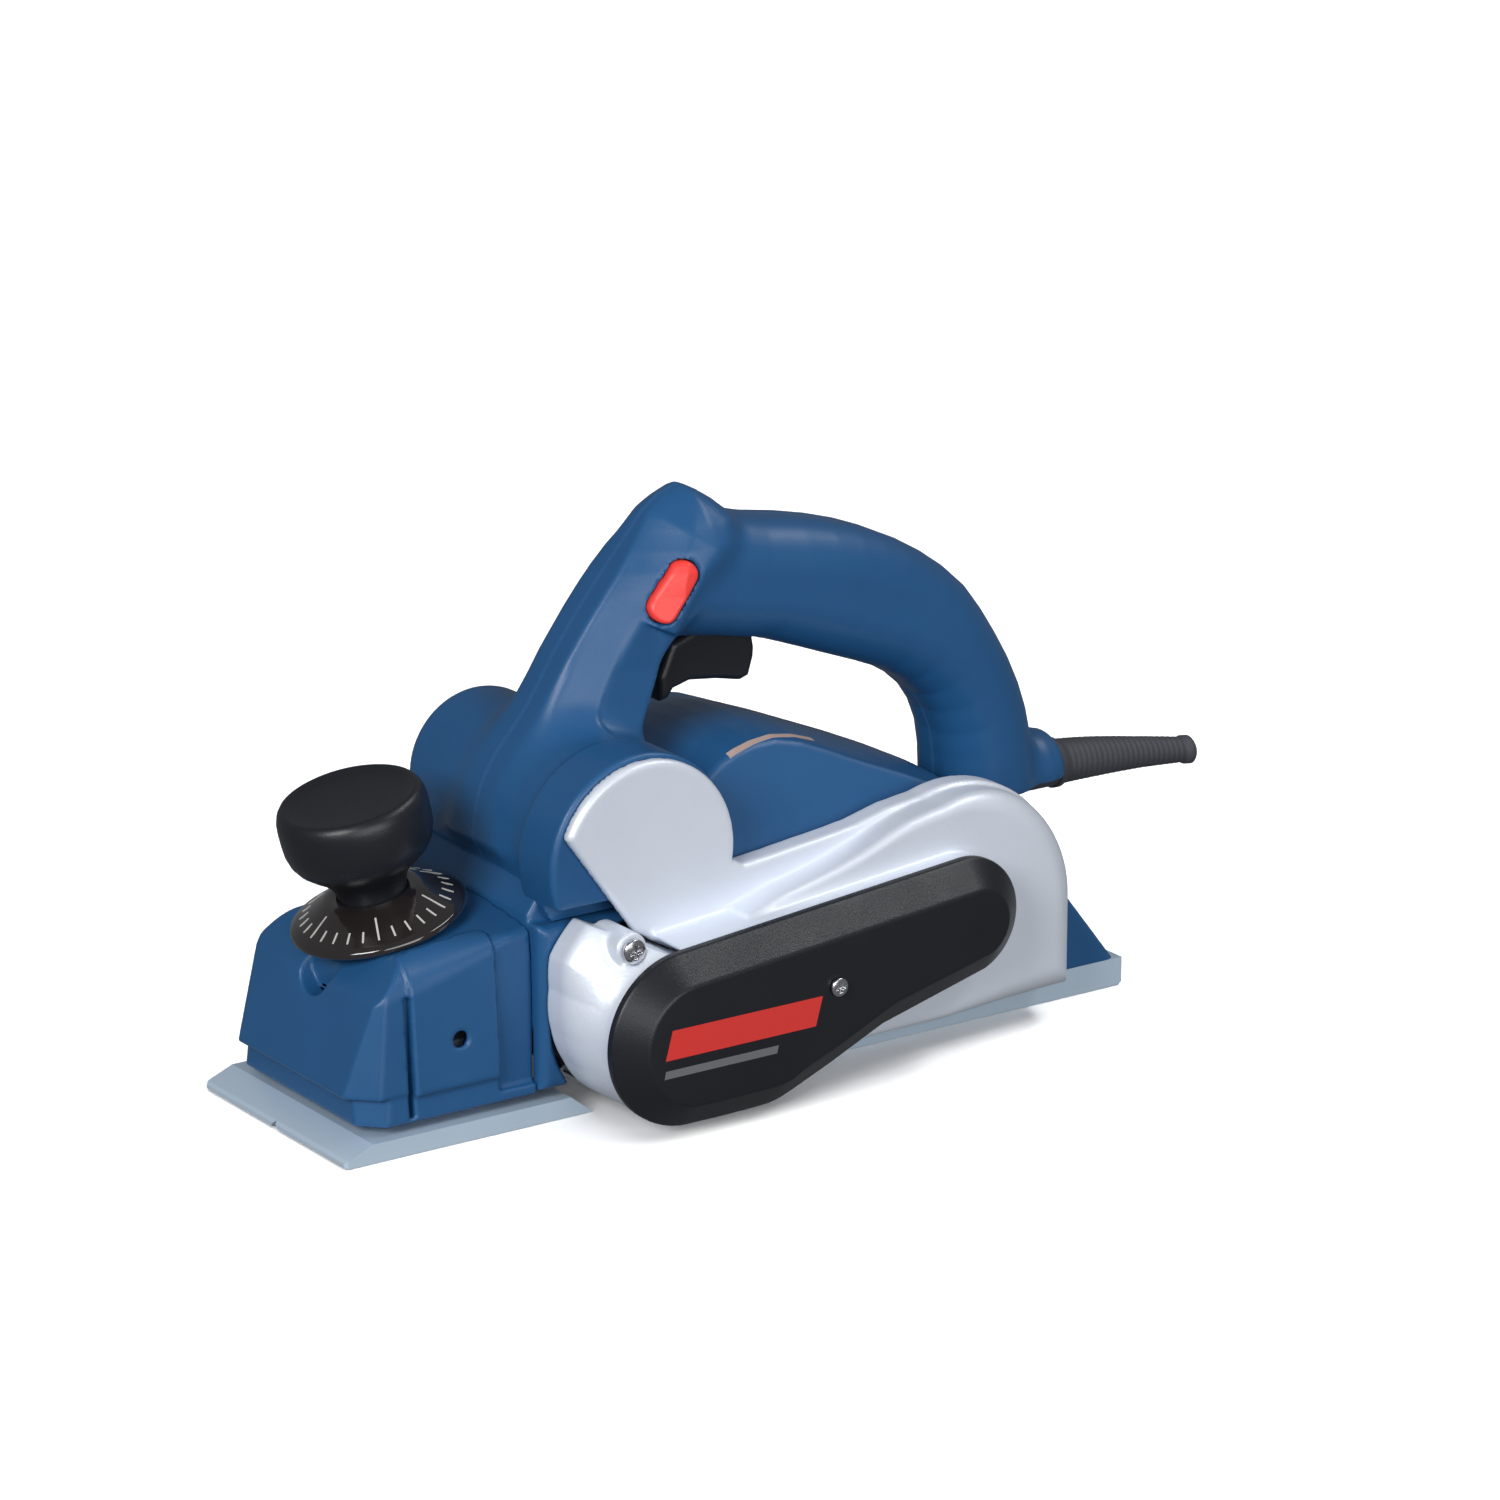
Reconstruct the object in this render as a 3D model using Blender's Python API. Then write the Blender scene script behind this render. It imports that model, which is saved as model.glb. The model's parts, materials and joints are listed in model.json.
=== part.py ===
"""Electric hand planer with a D-handle, a belt-driven cutter drum and a front depth knob.

World frame: +X runs to the rear (cord side), -X is the toe of the shoe, -Y is the belt side,
+Z is up and Z = 0 is the sole. Sizes below are in millimetres; MM turns them into metres.
"""
import math

import bmesh
import bpy
from mathutils import Vector

MM = 0.001
GAP = 0.3                 # clearance left between touching pieces

# ---- driving dimensions (mm) -------------------------------------------------------------
SOLE_LENGTH = 285.0
SOLE_WIDTH = 82.0
TOE_X = -SOLE_LENGTH / 2
HEEL_X = SOLE_LENGTH / 2
HALF_WIDTH = SOLE_WIDTH / 2
SHOE_THICK = 6.0
SOLE_THICK = 9.2

DRUM_X, DRUM_Z = -42.0, 28.3
CUT_RADIUS = 28.0         # blade tips turn on this radius
DRUM_RADIUS = 26.2
DRUM_HALF = 39.5
TUNNEL_RADIUS = 30.0

MOTOR_X, MOTOR_Z = 60.0, 46.5
CHAMBER_RADIUS = 33.0
FAN_RADIUS = 29.0

PLATE_IN = -HALF_WIDTH - GAP     # inner face of the belt-side castings
PLATE_OUT = -50.0
BOSS_OUT = -67.7                 # face that the belt cover closes on
COVER_IN = BOSS_OUT - GAP
COVER_OUT = -78.0
FAR_IN = HALF_WIDTH + GAP
FAR_OUT = 48.0

BLOCK_REAR = -75.0
BODY_FRONT = BLOCK_REAR + GAP
BARREL_NEAR = -46.2
DECK_Z = 60.7

KNOB_TILT = math.radians(14.0)
KNOB_BASE = Vector((-105.0, 0.0, 59.0))      # centre of the scale ring's lower rim
KNOB_AXIS = Vector((-math.sin(KNOB_TILT), 0.0, math.cos(KNOB_TILT)))

SPINDLE_RADIUS = 4.0
NUT_RADIUS = 5.3
RING_RADIUS = 26.8

DRUM_PULLEY_R = 17.0
MOTOR_PULLEY_R = 10.2
PULLEY_IN, PULLEY_OUT = -68.6, -75.2
BELT_THICK = 1.8

HANDLE_WALL = 3.2
TRIGGER_PIVOT = Vector((22.0, 0.0, 126.0))
BUTTON_CENTRE = Vector((-12.3, -18.0, 148.3))

CORD_EXIT = Vector((132.0, 0.0, 62.5))
SLEEVE_TIP = Vector((201.0, 0.0, 57.0))
LEAD_RADIUS = 2.4

SOLE_SCREWS = [(8.0, -28.0), (8.0, 28.0), (120.0, -28.0), (120.0, 28.0)]
FAR_SCREWS = [(-20.0, 50.0), (-9.0, 17.0), (62.0, 15.5)]
HANDLE_SCREWS = [(-24.0, 134.0), (46.0, 138.0), (112.0, 86.0)]
HOUSING_SCREW = (-56.5, 56.5)
PLATE_SCREW = (28.0, 38.0)
COVER_SCREW = (6.0, 37.5)
AIR_SLOTS = [31.0, 36.5, 42.0, 75.0, 80.5, 86.0]

BLUE = ("body_blue", (0.035, 0.115, 0.26, 1.0), 0.42, 0.0)
SILVER = ("cast_silver", (0.60, 0.64, 0.72, 1.0), 0.45, 0.6)
SOLE_METAL = ("sole_aluminium", (0.45, 0.52, 0.66, 1.0), 0.35, 0.8)
BLACK = ("black_plastic", (0.022, 0.022, 0.026, 1.0), 0.40, 0.0)
RING_BLACK = ("gloss_black", (0.015, 0.012, 0.012, 1.0), 0.12, 0.3)
RED = ("signal_red", (0.80, 0.05, 0.04, 1.0), 0.45, 0.0)
STEEL = ("steel", (0.55, 0.56, 0.58, 1.0), 0.30, 1.0)
COPPER = ("copper", (0.60, 0.27, 0.12, 1.0), 0.35, 1.0)
BRASS = ("brass", (0.65, 0.48, 0.20, 1.0), 0.30, 1.0)
RUBBER = ("rubber", (0.030, 0.028, 0.034, 1.0), 0.75, 0.0)
CARBON = ("carbon", (0.03, 0.03, 0.03, 1.0), 0.60, 0.0)


# ---- helpers -----------------------------------------------------------------------------
def clear_scene():
    for obj in list(bpy.data.objects):
        bpy.data.objects.remove(obj, do_unlink=True)


def material(finish):
    name, colour, roughness, metallic = finish
    mat = bpy.data.materials.get(name)
    if mat is None:
        mat = bpy.data.materials.new(name)
        mat.use_nodes = True
        shader = mat.node_tree.nodes["Principled BSDF"]
        shader.inputs["Base Color"].default_value = colour
        shader.inputs["Roughness"].default_value = roughness
        shader.inputs["Metallic"].default_value = metallic
    return mat


def add_object(name, bm, finish, origin=(0.0, 0.0, 0.0)):
    """Turn a bmesh in world millimetres into an object whose origin is the given point."""
    twisted = [face for face in bm.faces if len(face.verts) == 4]
    bmesh.ops.connect_verts_nonplanar(bm, angle_limit=0.001, faces=twisted)
    bmesh.ops.recalc_face_normals(bm, faces=bm.faces)
    bmesh.ops.translate(bm, verts=bm.verts, vec=-Vector(origin))
    bmesh.ops.scale(bm, verts=bm.verts, vec=(MM, MM, MM))
    mesh = bpy.data.meshes.new(name)
    bm.to_mesh(mesh)
    bm.free()
    obj = bpy.data.objects.new(name, mesh)
    obj.location = Vector(origin) * MM
    bpy.context.scene.collection.objects.link(obj)
    mesh.materials.append(material(finish))
    return obj


def arc(cx, cz, radius, start, end, count):
    """Points on an arc in the XZ plane, angles in degrees, both ends included."""
    points = []
    for i in range(count):
        angle = math.radians(start + (end - start) * i / (count - 1))
        points.append((cx + radius * math.cos(angle), cz + radius * math.sin(angle)))
    return points


def at_y(outline, y):
    return [Vector((x, y, z)) for x, z in outline]


def inset(outline, amount):
    """Move each point of an outline inwards, along the mean of its two edge normals."""
    area = sum(a[0] * b[1] - b[0] * a[1] for a, b in zip(outline, outline[1:] + outline[:1]))
    side = 1.0 if area > 0 else -1.0
    moved = []
    for before, here, after in zip(outline[-1:] + outline[:-1], outline, outline[1:] + outline[:1]):
        edge_in = Vector((here[0] - before[0], here[1] - before[1])).normalized()
        edge_out = Vector((after[0] - here[0], after[1] - here[1])).normalized()
        normal = (Vector((-edge_in.y, edge_in.x)) + Vector((-edge_out.y, edge_out.x))) * side
        normal.normalize()
        stretch = min(1.6, 1.0 / max(0.3, normal.dot(Vector((-edge_in.y, edge_in.x)) * side)))
        moved.append((here[0] + normal.x * amount * stretch, here[1] + normal.y * amount * stretch))
    return moved


def loft(rings, closed=False):
    """Skin rings of equal length; open lofts get a flat cap at each end."""
    bm = bmesh.new()
    rows = [[bm.verts.new(point) for point in ring] for ring in rings]
    count = len(rows[0])
    pairs = list(zip(rows, rows[1:]))
    if closed:
        pairs.append((rows[-1], rows[0]))
    for lower, upper in pairs:
        for i in range(count):
            j = (i + 1) % count
            bm.faces.new((lower[i], lower[j], upper[j], upper[i]))
    if not closed:
        bm.faces.new(list(reversed(rows[0])))
        bm.faces.new(rows[-1])
    return bm


def prism(outline, y0, y1):
    return loft([at_y(outline, y0), at_y(outline, y1)])


def block(low, high):
    x0, y0, z0 = low
    x1, y1, z1 = high
    return prism([(x0, z0), (x1, z0), (x1, z1), (x0, z1)], y0, y1)


def circle(centre, axis, radius, steps, turn=0.0):
    """A ring of points round an axis; a Y axis starts at +X, a Z axis starts at +X."""
    axis = Vector(axis).normalized()
    guide = Vector((0.0, 1.0, 0.0)) if abs(axis.y) < 0.9 else Vector((0.0, 0.0, 1.0))
    side = guide.cross(axis).normalized()
    other = axis.cross(side)
    ring = []
    for i in range(steps):
        angle = turn + math.tau * i / steps
        ring.append(Vector(centre) + radius * (math.cos(angle) * side + math.sin(angle) * other))
    return ring


def turned(profile, base, axis, steps, ring_shaped=False):
    """Turn (radius, height) points round an axis; ring_shaped closes the profile on itself."""
    axis = Vector(axis).normalized()
    rings = [circle(Vector(base) + axis * h, axis, r, steps) for r, h in profile]
    return loft(rings, closed=ring_shaped)


def disc_y(x, z, radius, y0, y1, steps):
    return turned([(radius, 0.0), (radius, y1 - y0)], (x, y0, z), (0, 1, 0), steps)


def tube_y(x, z, outer, inner, y0, y1, steps):
    depth = y1 - y0
    profile = [(outer, 0.0), (outer, depth), (inner, depth), (inner, 0.0)]
    return turned(profile, (x, y0, z), (0, 1, 0), steps, ring_shaped=True)


def combine(target, bm, operation):
    """Boolean a world-millimetre bmesh with an object and keep the result as its mesh."""
    tool = add_object("tool", bm, BLACK)
    tool.hide_render = True
    tool.display_type = 'WIRE'
    modifier = target.modifiers.new("combine", 'BOOLEAN')
    modifier.operation = operation
    modifier.solver = 'EXACT'
    modifier.object = tool
    bpy.context.view_layer.update()
    evaluated = target.evaluated_get(bpy.context.evaluated_depsgraph_get())
    mesh = bpy.data.meshes.new_from_object(evaluated)
    target.modifiers.clear()
    target.data = mesh
    bpy.data.objects.remove(tool, do_unlink=True)
    return target


def cut(target, bm):
    return combine(target, bm, 'DIFFERENCE')


def weld(target, bm):
    return combine(target, bm, 'UNION')


def smooth(obj, angle=35.0):
    obj.data.shade_smooth()
    obj.data.set_sharp_from_angle(angle=math.radians(angle))
    return obj


def screw(name, centre, axis, head_radius, head_height, shank_radius, shank_length,
          finish=STEEL, steps=16, slot=1.2):
    """A slotted pan-head screw: the head stands out along the axis, the shank goes the other way."""
    axis = Vector(axis).normalized()
    profile = [(shank_radius, -shank_length), (shank_radius, 0.0), (head_radius, 0.0),
               (head_radius, head_height * 0.55), (head_radius * 0.62, head_height)]
    obj = add_object(name, turned(profile, centre, axis, steps), finish)
    if slot:
        across = Vector((0.0, 0.0, 1.0)) if abs(axis.z) < 0.9 else Vector((1.0, 0.0, 0.0))
        along = axis.cross(across).normalized()
        slot_top = Vector(centre) + axis * (head_height + 1.0)
        slot_base = Vector(centre) + axis * head_height * 0.45
        corners = []
        for level in (slot_base, slot_top):
            corners.append([level + along * a * (head_radius + 1.0) + across * b * slot / 2
                            for a, b in ((-1, -1), (1, -1), (1, 1), (-1, 1))])
        cut(obj, loft(corners))
    return smooth(obj)


# ---- outlines shared by several pieces ------------------------------------------------------
def belt_outline(grow=0.0):
    """Egg-shaped outline round both pulleys: big end at the drum, small end at the motor."""
    big, small = 27.0 + grow, 19.0 + grow
    points = arc(DRUM_X - 0.5, 29.0, big, 268.0, 97.0, 17)
    points += arc(MOTOR_X - 1.0, MOTOR_Z, small, 97.0, -68.0, 13)
    points += [(-10.0, 3.2 - grow), (-18.0, 2.4 - grow)]
    return points


def handle_stations():
    """(outer point, inner point, half width) along the handle, from front foot to rear foot."""
    return [((-72.0, 88.0), (-30.0, 84.0), 17.0),
            ((-60.0, 106.0), (-22.0, 100.0), 17.5),
            ((-49.0, 121.0), (-14.5, 112.0), 18.0),
            ((-35.0, 140.0), (-7.0, 124.0), 18.5),
            ((-21.0, 158.0), (3.0, 129.0), 19.0),
            ((-9.0, 170.0), (12.0, 127.5), 19.0),
            ((2.0, 174.8), (20.0, 124.5), 18.0),
            ((13.0, 168.5), (27.0, 122.5), 17.0),
            ((27.0, 163.8), (35.0, 121.0), 16.5),
            ((44.0, 160.0), (46.0, 117.8), 17.0),
            ((64.0, 154.5), (59.0, 113.0), 18.0),
            ((84.0, 145.0), (72.0, 108.0), 18.5),
            ((103.0, 130.5), (83.0, 101.5), 18.5),
            ((118.0, 111.5), (91.5, 93.0), 18.0),
            ((127.0, 91.0), (96.5, 82.0), 17.5),
            ((131.5, 70.0), (98.0, 71.0), 17.0),
            ((132.0, 51.0), (99.0, 57.0), 16.0),
            ((124.0, 36.0), (98.0, 44.0), 15.0)]


def handle_rings(shrink):
    """Rounded-oblong rings of the handle, each one standing across the outer and inner points."""
    rings = []
    stations = handle_stations()
    if shrink > 0.0:
        stations = stations[1:-1]
    for outer, inner, half in stations:
        outer = Vector((outer[0], 0.0, outer[1]))
        inner = Vector((inner[0], 0.0, inner[1]))
        centre = (outer + inner) / 2
        reach = (outer - inner).length / 2 - shrink
        across = (outer - inner).normalized()
        ring = []
        for i in range(20):
            angle = math.tau * i / 20
            c, s = math.cos(angle), math.sin(angle)
            u = math.copysign(abs(c) ** 0.78, c)
            v = math.copysign(abs(s) ** 0.78, s)
            ring.append(centre + across * u * reach + Vector((0.0, v * (half - shrink), 0.0)))
        rings.append(ring)
    return rings


def barrel_rings(grow):
    """Transverse chip barrel: wide at the belt side, narrower and domed at the far side."""
    stations = [(BARREL_NEAR - grow, DRUM_X, 78.0, 31.8), (-28.0, DRUM_X, 79.0, 31.0),
                (-25.5, DRUM_X, 79.8, 29.0), (0.0, -42.5, 82.5, 27.0), (36.0, -43.5, 85.0, 24.5),
                (43.0, -43.5, 85.0, 22.0), (47.0, -43.5, 85.0, 17.5)]
    return [circle((x, y, z), (0, 1, 0), radius + grow, 32) for y, x, z, radius in stations]


def body_outline(drop):
    """Side outline of the motor housing; drop lowers the hump towards the two flanks."""
    return [(BODY_FRONT, 9.5), (BODY_FRONT, DECK_Z), (-9.0, DECK_Z), (-9.0, max(66.0, 92.0 - drop)),
            (-2.0, 98.0 - drop), (8.0, 101.0 - drop), (20.0, 101.5 - drop), (34.0, 99.0 - drop),
            (50.0, 93.5 - drop * 0.85), (68.0, 86.0 - drop * 0.62), (86.0, 77.0 - drop * 0.35),
            (102.0, 66.0 - drop * 0.2), (110.0, 52.0), (117.0, 40.5), (HEEL_X - 1.0, 10.5),
            (HEEL_X - 1.0, 9.5)]


# ---- sole and depth setting ------------------------------------------------------------------
def make_front_shoe():
    """Aluminium shoe: thin sloping toe, flat flange, guide block inside the housing."""
    outline = [(TOE_X, 0.6), (TOE_X + 1.2, 0.0), (-57.0, 0.0), (-64.5, SHOE_THICK), (-133.0, SHOE_THICK),
               (TOE_X + 1.0, 2.6), (TOE_X, 1.8)]
    shoe = add_object("front_shoe", prism(outline, -HALF_WIDTH, HALF_WIDTH), SOLE_METAL)
    guide = [(-126.0, SHOE_THICK - 1.0), (-83.0, SHOE_THICK - 1.0), (-88.0, 26.0), (-122.0, 26.0)]
    weld(shoe, prism(guide, -26.0, 26.0))
    for side in (-1.0, 1.0):
        corner = [Vector((TOE_X - 1.0, side * (HALF_WIDTH + 1.0), z)) for z in (-1.0, 8.0)]
        rings = [[point, point + Vector((3.0, 0.0, 0.0)), point + Vector((0.0, -side * 3.0, 0.0))]
                 for point in corner]
        cut(shoe, loft(rings))
    groove = [Vector((0.0, -3.4, -1.0)), Vector((0.0, 3.4, -1.0)), Vector((0.0, 0.0, 2.6))]
    cut(shoe, loft([[point + Vector((x, 0.0, 0.0)) for point in groove] for x in (TOE_X - 5.0, -50.0)]))
    cut(shoe, turned([(NUT_RADIUS + GAP, -48.0), (NUT_RADIUS + GAP, 32.0)], KNOB_BASE, KNOB_AXIS, 16))
    return shoe


def make_rear_sole():
    """Aluminium rear sole with a slanted front lip that follows the drum."""
    outline = [(-24.0, 0.0), (HEEL_X - 1.2, 0.0), (HEEL_X, 1.2), (HEEL_X, SOLE_THICK),
               (-17.0, SOLE_THICK), (-21.5, 4.0)]
    sole = add_object("rear_sole", prism(outline, -HALF_WIDTH, HALF_WIDTH), SOLE_METAL)
    for x, y in SOLE_SCREWS:
        cut(sole, turned([(5.0, -1.0), (5.0, 2.2), (2.6, 4.6), (2.6, 12.0)], (x, y, 0.0), (0, 0, 1), 14))
    return sole


def block_ring(z, front, half, corner, slope=0.0):
    """One level of the front housing: a rectangle with cut front corners, on a sloping plane."""
    points = [(front, half - corner), (front, -half + corner), (front + corner * 0.6, -half),
              (BLOCK_REAR, -half), (BLOCK_REAR, half), (front + corner * 0.6, half)]
    return [Vector((x, y, z + slope * (x - front))) for x, y in points]


def make_front_housing():
    """Blue block over the shoe: recessed skirt, raked front face, sloping top, knob recess."""
    rings = [block_ring(8.8, -133.8, 38.6, 8.0), block_ring(17.6, -133.8, 38.6, 8.0),
             block_ring(17.8, -136.8, 38.6, 8.0), block_ring(48.0, -127.0, 37.0, 4.0),
             block_ring(57.6, -121.0, 35.5, 3.0, 0.10)]
    housing = add_object("front_housing", loft(rings), BLUE)
    inner = [block_ring(6.0, -130.4, 34.6, 4.0), block_ring(20.0, -130.4, 34.6, 4.0),
             block_ring(44.0, -122.0, 33.5, 3.0)]
    for ring in inner:
        for point in ring:
            point.x = min(point.x, BLOCK_REAR - 3.0)
    cut(housing, loft(inner))
    cut(housing, turned([(RING_RADIUS + 0.8, -0.4), (RING_RADIUS + 0.8, 40.0)], KNOB_BASE, KNOB_AXIS, 32))
    cut(housing, turned([(6.2, -30.0), (6.2, 10.0)], KNOB_BASE, KNOB_AXIS, 16))
    cut(housing, turned([(8.0, 0.0), (8.0, 14.0)], (-137.5, 0.0, 47.5), (1, 0, 0), 20))
    panel = [(-117.2, 10.5), (-87.8, 10.5), (-87.8, 55.0), (-117.2, 52.4)]
    weld(housing, prism(panel, -39.6, -34.9))
    cut(housing, block((-118.4, -45.0, 10.0), (-116.6, -36.2, 46.5)))
    cut(housing, disc_y(-101.0, 31.0, 2.6, -45.0, -30.0, 12))
    return housing


def make_depth_parts():
    """Depth knob with its scale ring and the threaded spindle that lifts the shoe."""
    knob = [(4.4, 4.6), (10.6, 4.6), (10.6, 10.0), (11.8, 14.0), (15.6, 18.0), (20.6, 22.0),
            (22.5, 27.0), (22.8, 31.0), (22.7, 36.0), (21.6, 39.4), (19.2, 40.6), (16.0, 39.8), (6.0, 39.2)]
    handle = add_object("depth_knob", turned(knob, KNOB_BASE, KNOB_AXIS, 28), BLACK, KNOB_BASE)
    bore = SPINDLE_RADIUS + 0.4
    smooth(cut(handle, turned([(bore, -2.0), (bore, 30.0)], KNOB_BASE, KNOB_AXIS, 16)))
    ring = [(RING_RADIUS, 0.0), (RING_RADIUS, 1.8), (22.0, 4.4), (15.0, 8.6), (11.0, 9.2), (11.0, 4.3),
            (4.6, 4.3), (4.6, 0.0)]
    smooth(add_object("scale_ring", turned(ring, KNOB_BASE, KNOB_AXIS, 32, True), RING_BLACK, KNOB_BASE))
    spindle = [(SPINDLE_RADIUS, -43.0), (SPINDLE_RADIUS, 22.0)]
    smooth(add_object("depth_spindle", turned(spindle, KNOB_BASE, KNOB_AXIS, 14), STEEL, KNOB_BASE))


def make_spindle_nut():
    """Brass nut pressed in the shoe's guide block; the spindle turns inside it."""
    bore = SPINDLE_RADIUS + GAP
    nut = [(NUT_RADIUS, -41.0), (NUT_RADIUS, -34.0), (bore, -34.0), (bore, -41.0)]
    return add_object("spindle_nut", turned(nut, KNOB_BASE, KNOB_AXIS, 14, True), BRASS)


# ---- housings --------------------------------------------------------------------------------
def make_motor_housing():
    """Blue main casting: drum tunnel open below, motor chamber, chip slot in the deck."""
    levels = [(-40.9, 25.0), (-30.0, 0.0), (37.5, 0.0), (40.9, 4.0)]
    housing = add_object("motor_housing", loft([at_y(body_outline(drop), y) for y, drop in levels]), BLUE)
    cut(housing, disc_y(DRUM_X, DRUM_Z, TUNNEL_RADIUS, -50.0, 50.0, 40))
    cut(housing, block((-80.0, -50.0, 0.0), (-13.0, 50.0, DRUM_Z)))
    cut(housing, disc_y(MOTOR_X, MOTOR_Z, CHAMBER_RADIUS, -31.0, 50.0, 40))
    cut(housing, disc_y(MOTOR_X, MOTOR_Z, 24.0, -50.0, 0.0, 32))
    cut(housing, block((-66.0, -28.0, 40.0), (-48.0, 28.0, 70.0)))
    for x, y in SOLE_SCREWS:
        cut(housing, turned([(2.5, 0.0), (2.5, 8.0)], (x, y, 9.0), (0, 0, 1), 12))
    for x, z in FAR_SCREWS:
        cut(housing, disc_y(x, z, 2.0, 30.0, 50.0, 12))
    return smooth(housing, 28.0)


def make_chip_barrel():
    """Hollow barrel across the machine; chips leave through the round port in its far end."""
    barrel = add_object("chip_barrel", loft(barrel_rings(0.0)), BLUE)
    cut(barrel, block((-100.0, -60.0, 0.0), (20.0, 60.0, DECK_Z + GAP)))
    cut(barrel, block((-100.0, -60.0, 50.0), (20.0, -38.0, 67.0)))
    bore = [circle((-43.0, y, 84.0), (0, 1, 0), radius, 28)
            for y, radius in ((-34.0, 22.5), (30.0, 20.5), (60.0, 14.0))]
    cut(barrel, loft(bore))
    cut(barrel, block((-66.0, -28.0, 50.0), (-48.0, 28.0, 76.0)))
    return smooth(barrel, 30.0)


def make_handle_halves():
    """Two clamshell halves of the D-handle with the cord collar, screw posts and cut-outs."""
    foot_cut = inset(body_outline(0.0), -GAP)
    for name, side in (("handle_near", -1.0), ("handle_far", 1.0)):
        half = add_object(name, loft(handle_rings(0.0)), BLUE)
        collar = [(13.0, 0.0), (12.5, 6.0), (10.2, 15.0), (9.6, 18.5)]
        weld(half, turned(collar, CORD_EXIT - Vector((7.0, 0.0, 0.0)), (1, 0, 0), 24))
        cut(half, loft(handle_rings(HANDLE_WALL)))
        cut(half, turned([(7.9, 0.0), (7.9, 40.0)], CORD_EXIT - Vector((12.0, 0.0, 0.0)), (1, 0, 0), 20))
        for x, z in HANDLE_SCREWS:
            if side < 0.0:
                weld(half, disc_y(x, z, 3.6, -16.2, 4.0, 12))
            else:
                weld(half, disc_y(x, z, 4.6, -4.0, 16.2, 12))
        low, high = sorted((-side * 60.0, side * GAP / 2))
        cut(half, block((-120.0, low, 0.0), (200.0, high, 220.0)))
        for x, z in HANDLE_SCREWS:
            if side < 0.0:
                cut(half, disc_y(x, z, 1.8, -11.0, 5.0, 10))
            else:
                cut(half, disc_y(x, z, 1.9, -5.0, 20.0, 10))
                cut(half, disc_y(x, z, 3.4, 9.0, 30.0, 12))
        cut(half, loft(barrel_rings(GAP)))
        cut(half, prism(foot_cut, -34.0, 34.0))
        cut(half, block((-11.5, -7.6, 98.0), (27.3, 7.6, 136.0)))
        if side < 0.0:
            cut(half, stadium(BUTTON_CENTRE, 5.8, 9.6, -40.0, -5.0))
        smooth(half)


def make_side_plate():
    """Silver casting on the belt side: barrel disc, upper rim, raised rear lobe, belt boss."""
    base = arc(DRUM_X, 78.0, 30.5, 158.0, -10.0, 17)
    base += [(-8.0, 70.6), (12.0, 72.8), (33.0, 75.4), (45.0, 78.4)]
    base += arc(70.0, 41.0, 41.0, 108.0, 0.0, 13)
    base += [(111.0, 9.6), (-4.2, 9.6), (-24.0, 44.0), (-46.6, 56.4)]
    plate = add_object("side_plate", prism(base, PLATE_IN, PLATE_OUT), SILVER)
    cut(plate, loft(barrel_rings(GAP)))
    raised = [(-14.0, 60.0), (0.0, 64.0), (18.0, 67.5), (32.0, 72.0), (44.0, 77.0)]
    raised += arc(70.0, 41.0, 39.5, 110.0, 0.0, 13)
    raised += [(109.5, 11.0), (-2.0, 11.0)]
    levels = [(-48.5, 0.0), (-54.0, 2.2), (-58.5, 6.0), (-61.0, 11.0)]
    weld(plate, loft([at_y(inset(raised, amount), y) for y, amount in levels]))
    boss = arc(MOTOR_X - 1.0, MOTOR_Z, 18.0, 97.0, -68.0, 11)
    boss += [(-2.6, 7.9), (-23.4, 44.3), (-40.5, 53.7), (-41.0, 55.0)]
    weld(plate, prism(boss, -49.0, BOSS_OUT))
    weld(plate, disc_y(*COVER_SCREW, 4.2, BOSS_OUT - 6.0, -60.0, 16))
    cut(plate, disc_y(*COVER_SCREW, 1.9, -90.0, -62.0, 10))
    cut(plate, disc_y(MOTOR_X, MOTOR_Z, 13.3, -49.0, -30.0, 28))
    cut(plate, disc_y(MOTOR_X, MOTOR_Z, 6.4, -90.0, -30.0, 20))
    cut(plate, disc_y(*PLATE_SCREW, 4.2, -90.0, BOSS_OUT + 4.0, 16))
    cut(plate, disc_y(*PLATE_SCREW, 2.2, -90.0, -30.0, 12))
    return smooth(plate, 28.0)


def drum_housing_ring(y, mix):
    """Free edge runs from the raked casting outline (mix 0) to the round belt boss (mix 1)."""
    corners = [(114.0, 40.5), (142.0, 37.8), (156.0, 33.0), (180.0, 29.5), (201.0, 27.5),
               (229.0, 26.6), (268.0, 25.0)]
    ring = []
    for i in range(15):
        angle = 114.0 + 154.0 * i / 14
        for (a0, r0), (a1, r1) in zip(corners, corners[1:]):
            if a0 <= angle <= a1 + 0.001:
                radius = r0 + (r1 - r0) * (angle - a0) / (a1 - a0)
                break
        radius += (26.0 - radius) * mix
        ring.append(Vector((DRUM_X - 0.5 + radius * math.cos(math.radians(angle)), y,
                            29.0 + radius * math.sin(math.radians(angle)))))
    ring += [Vector((x, y, z)) for x, z in ((-10.0, 5.0), (-3.4, 7.4), (-24.5, 43.7), (-47.0, 54.6))]
    return ring


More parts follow.
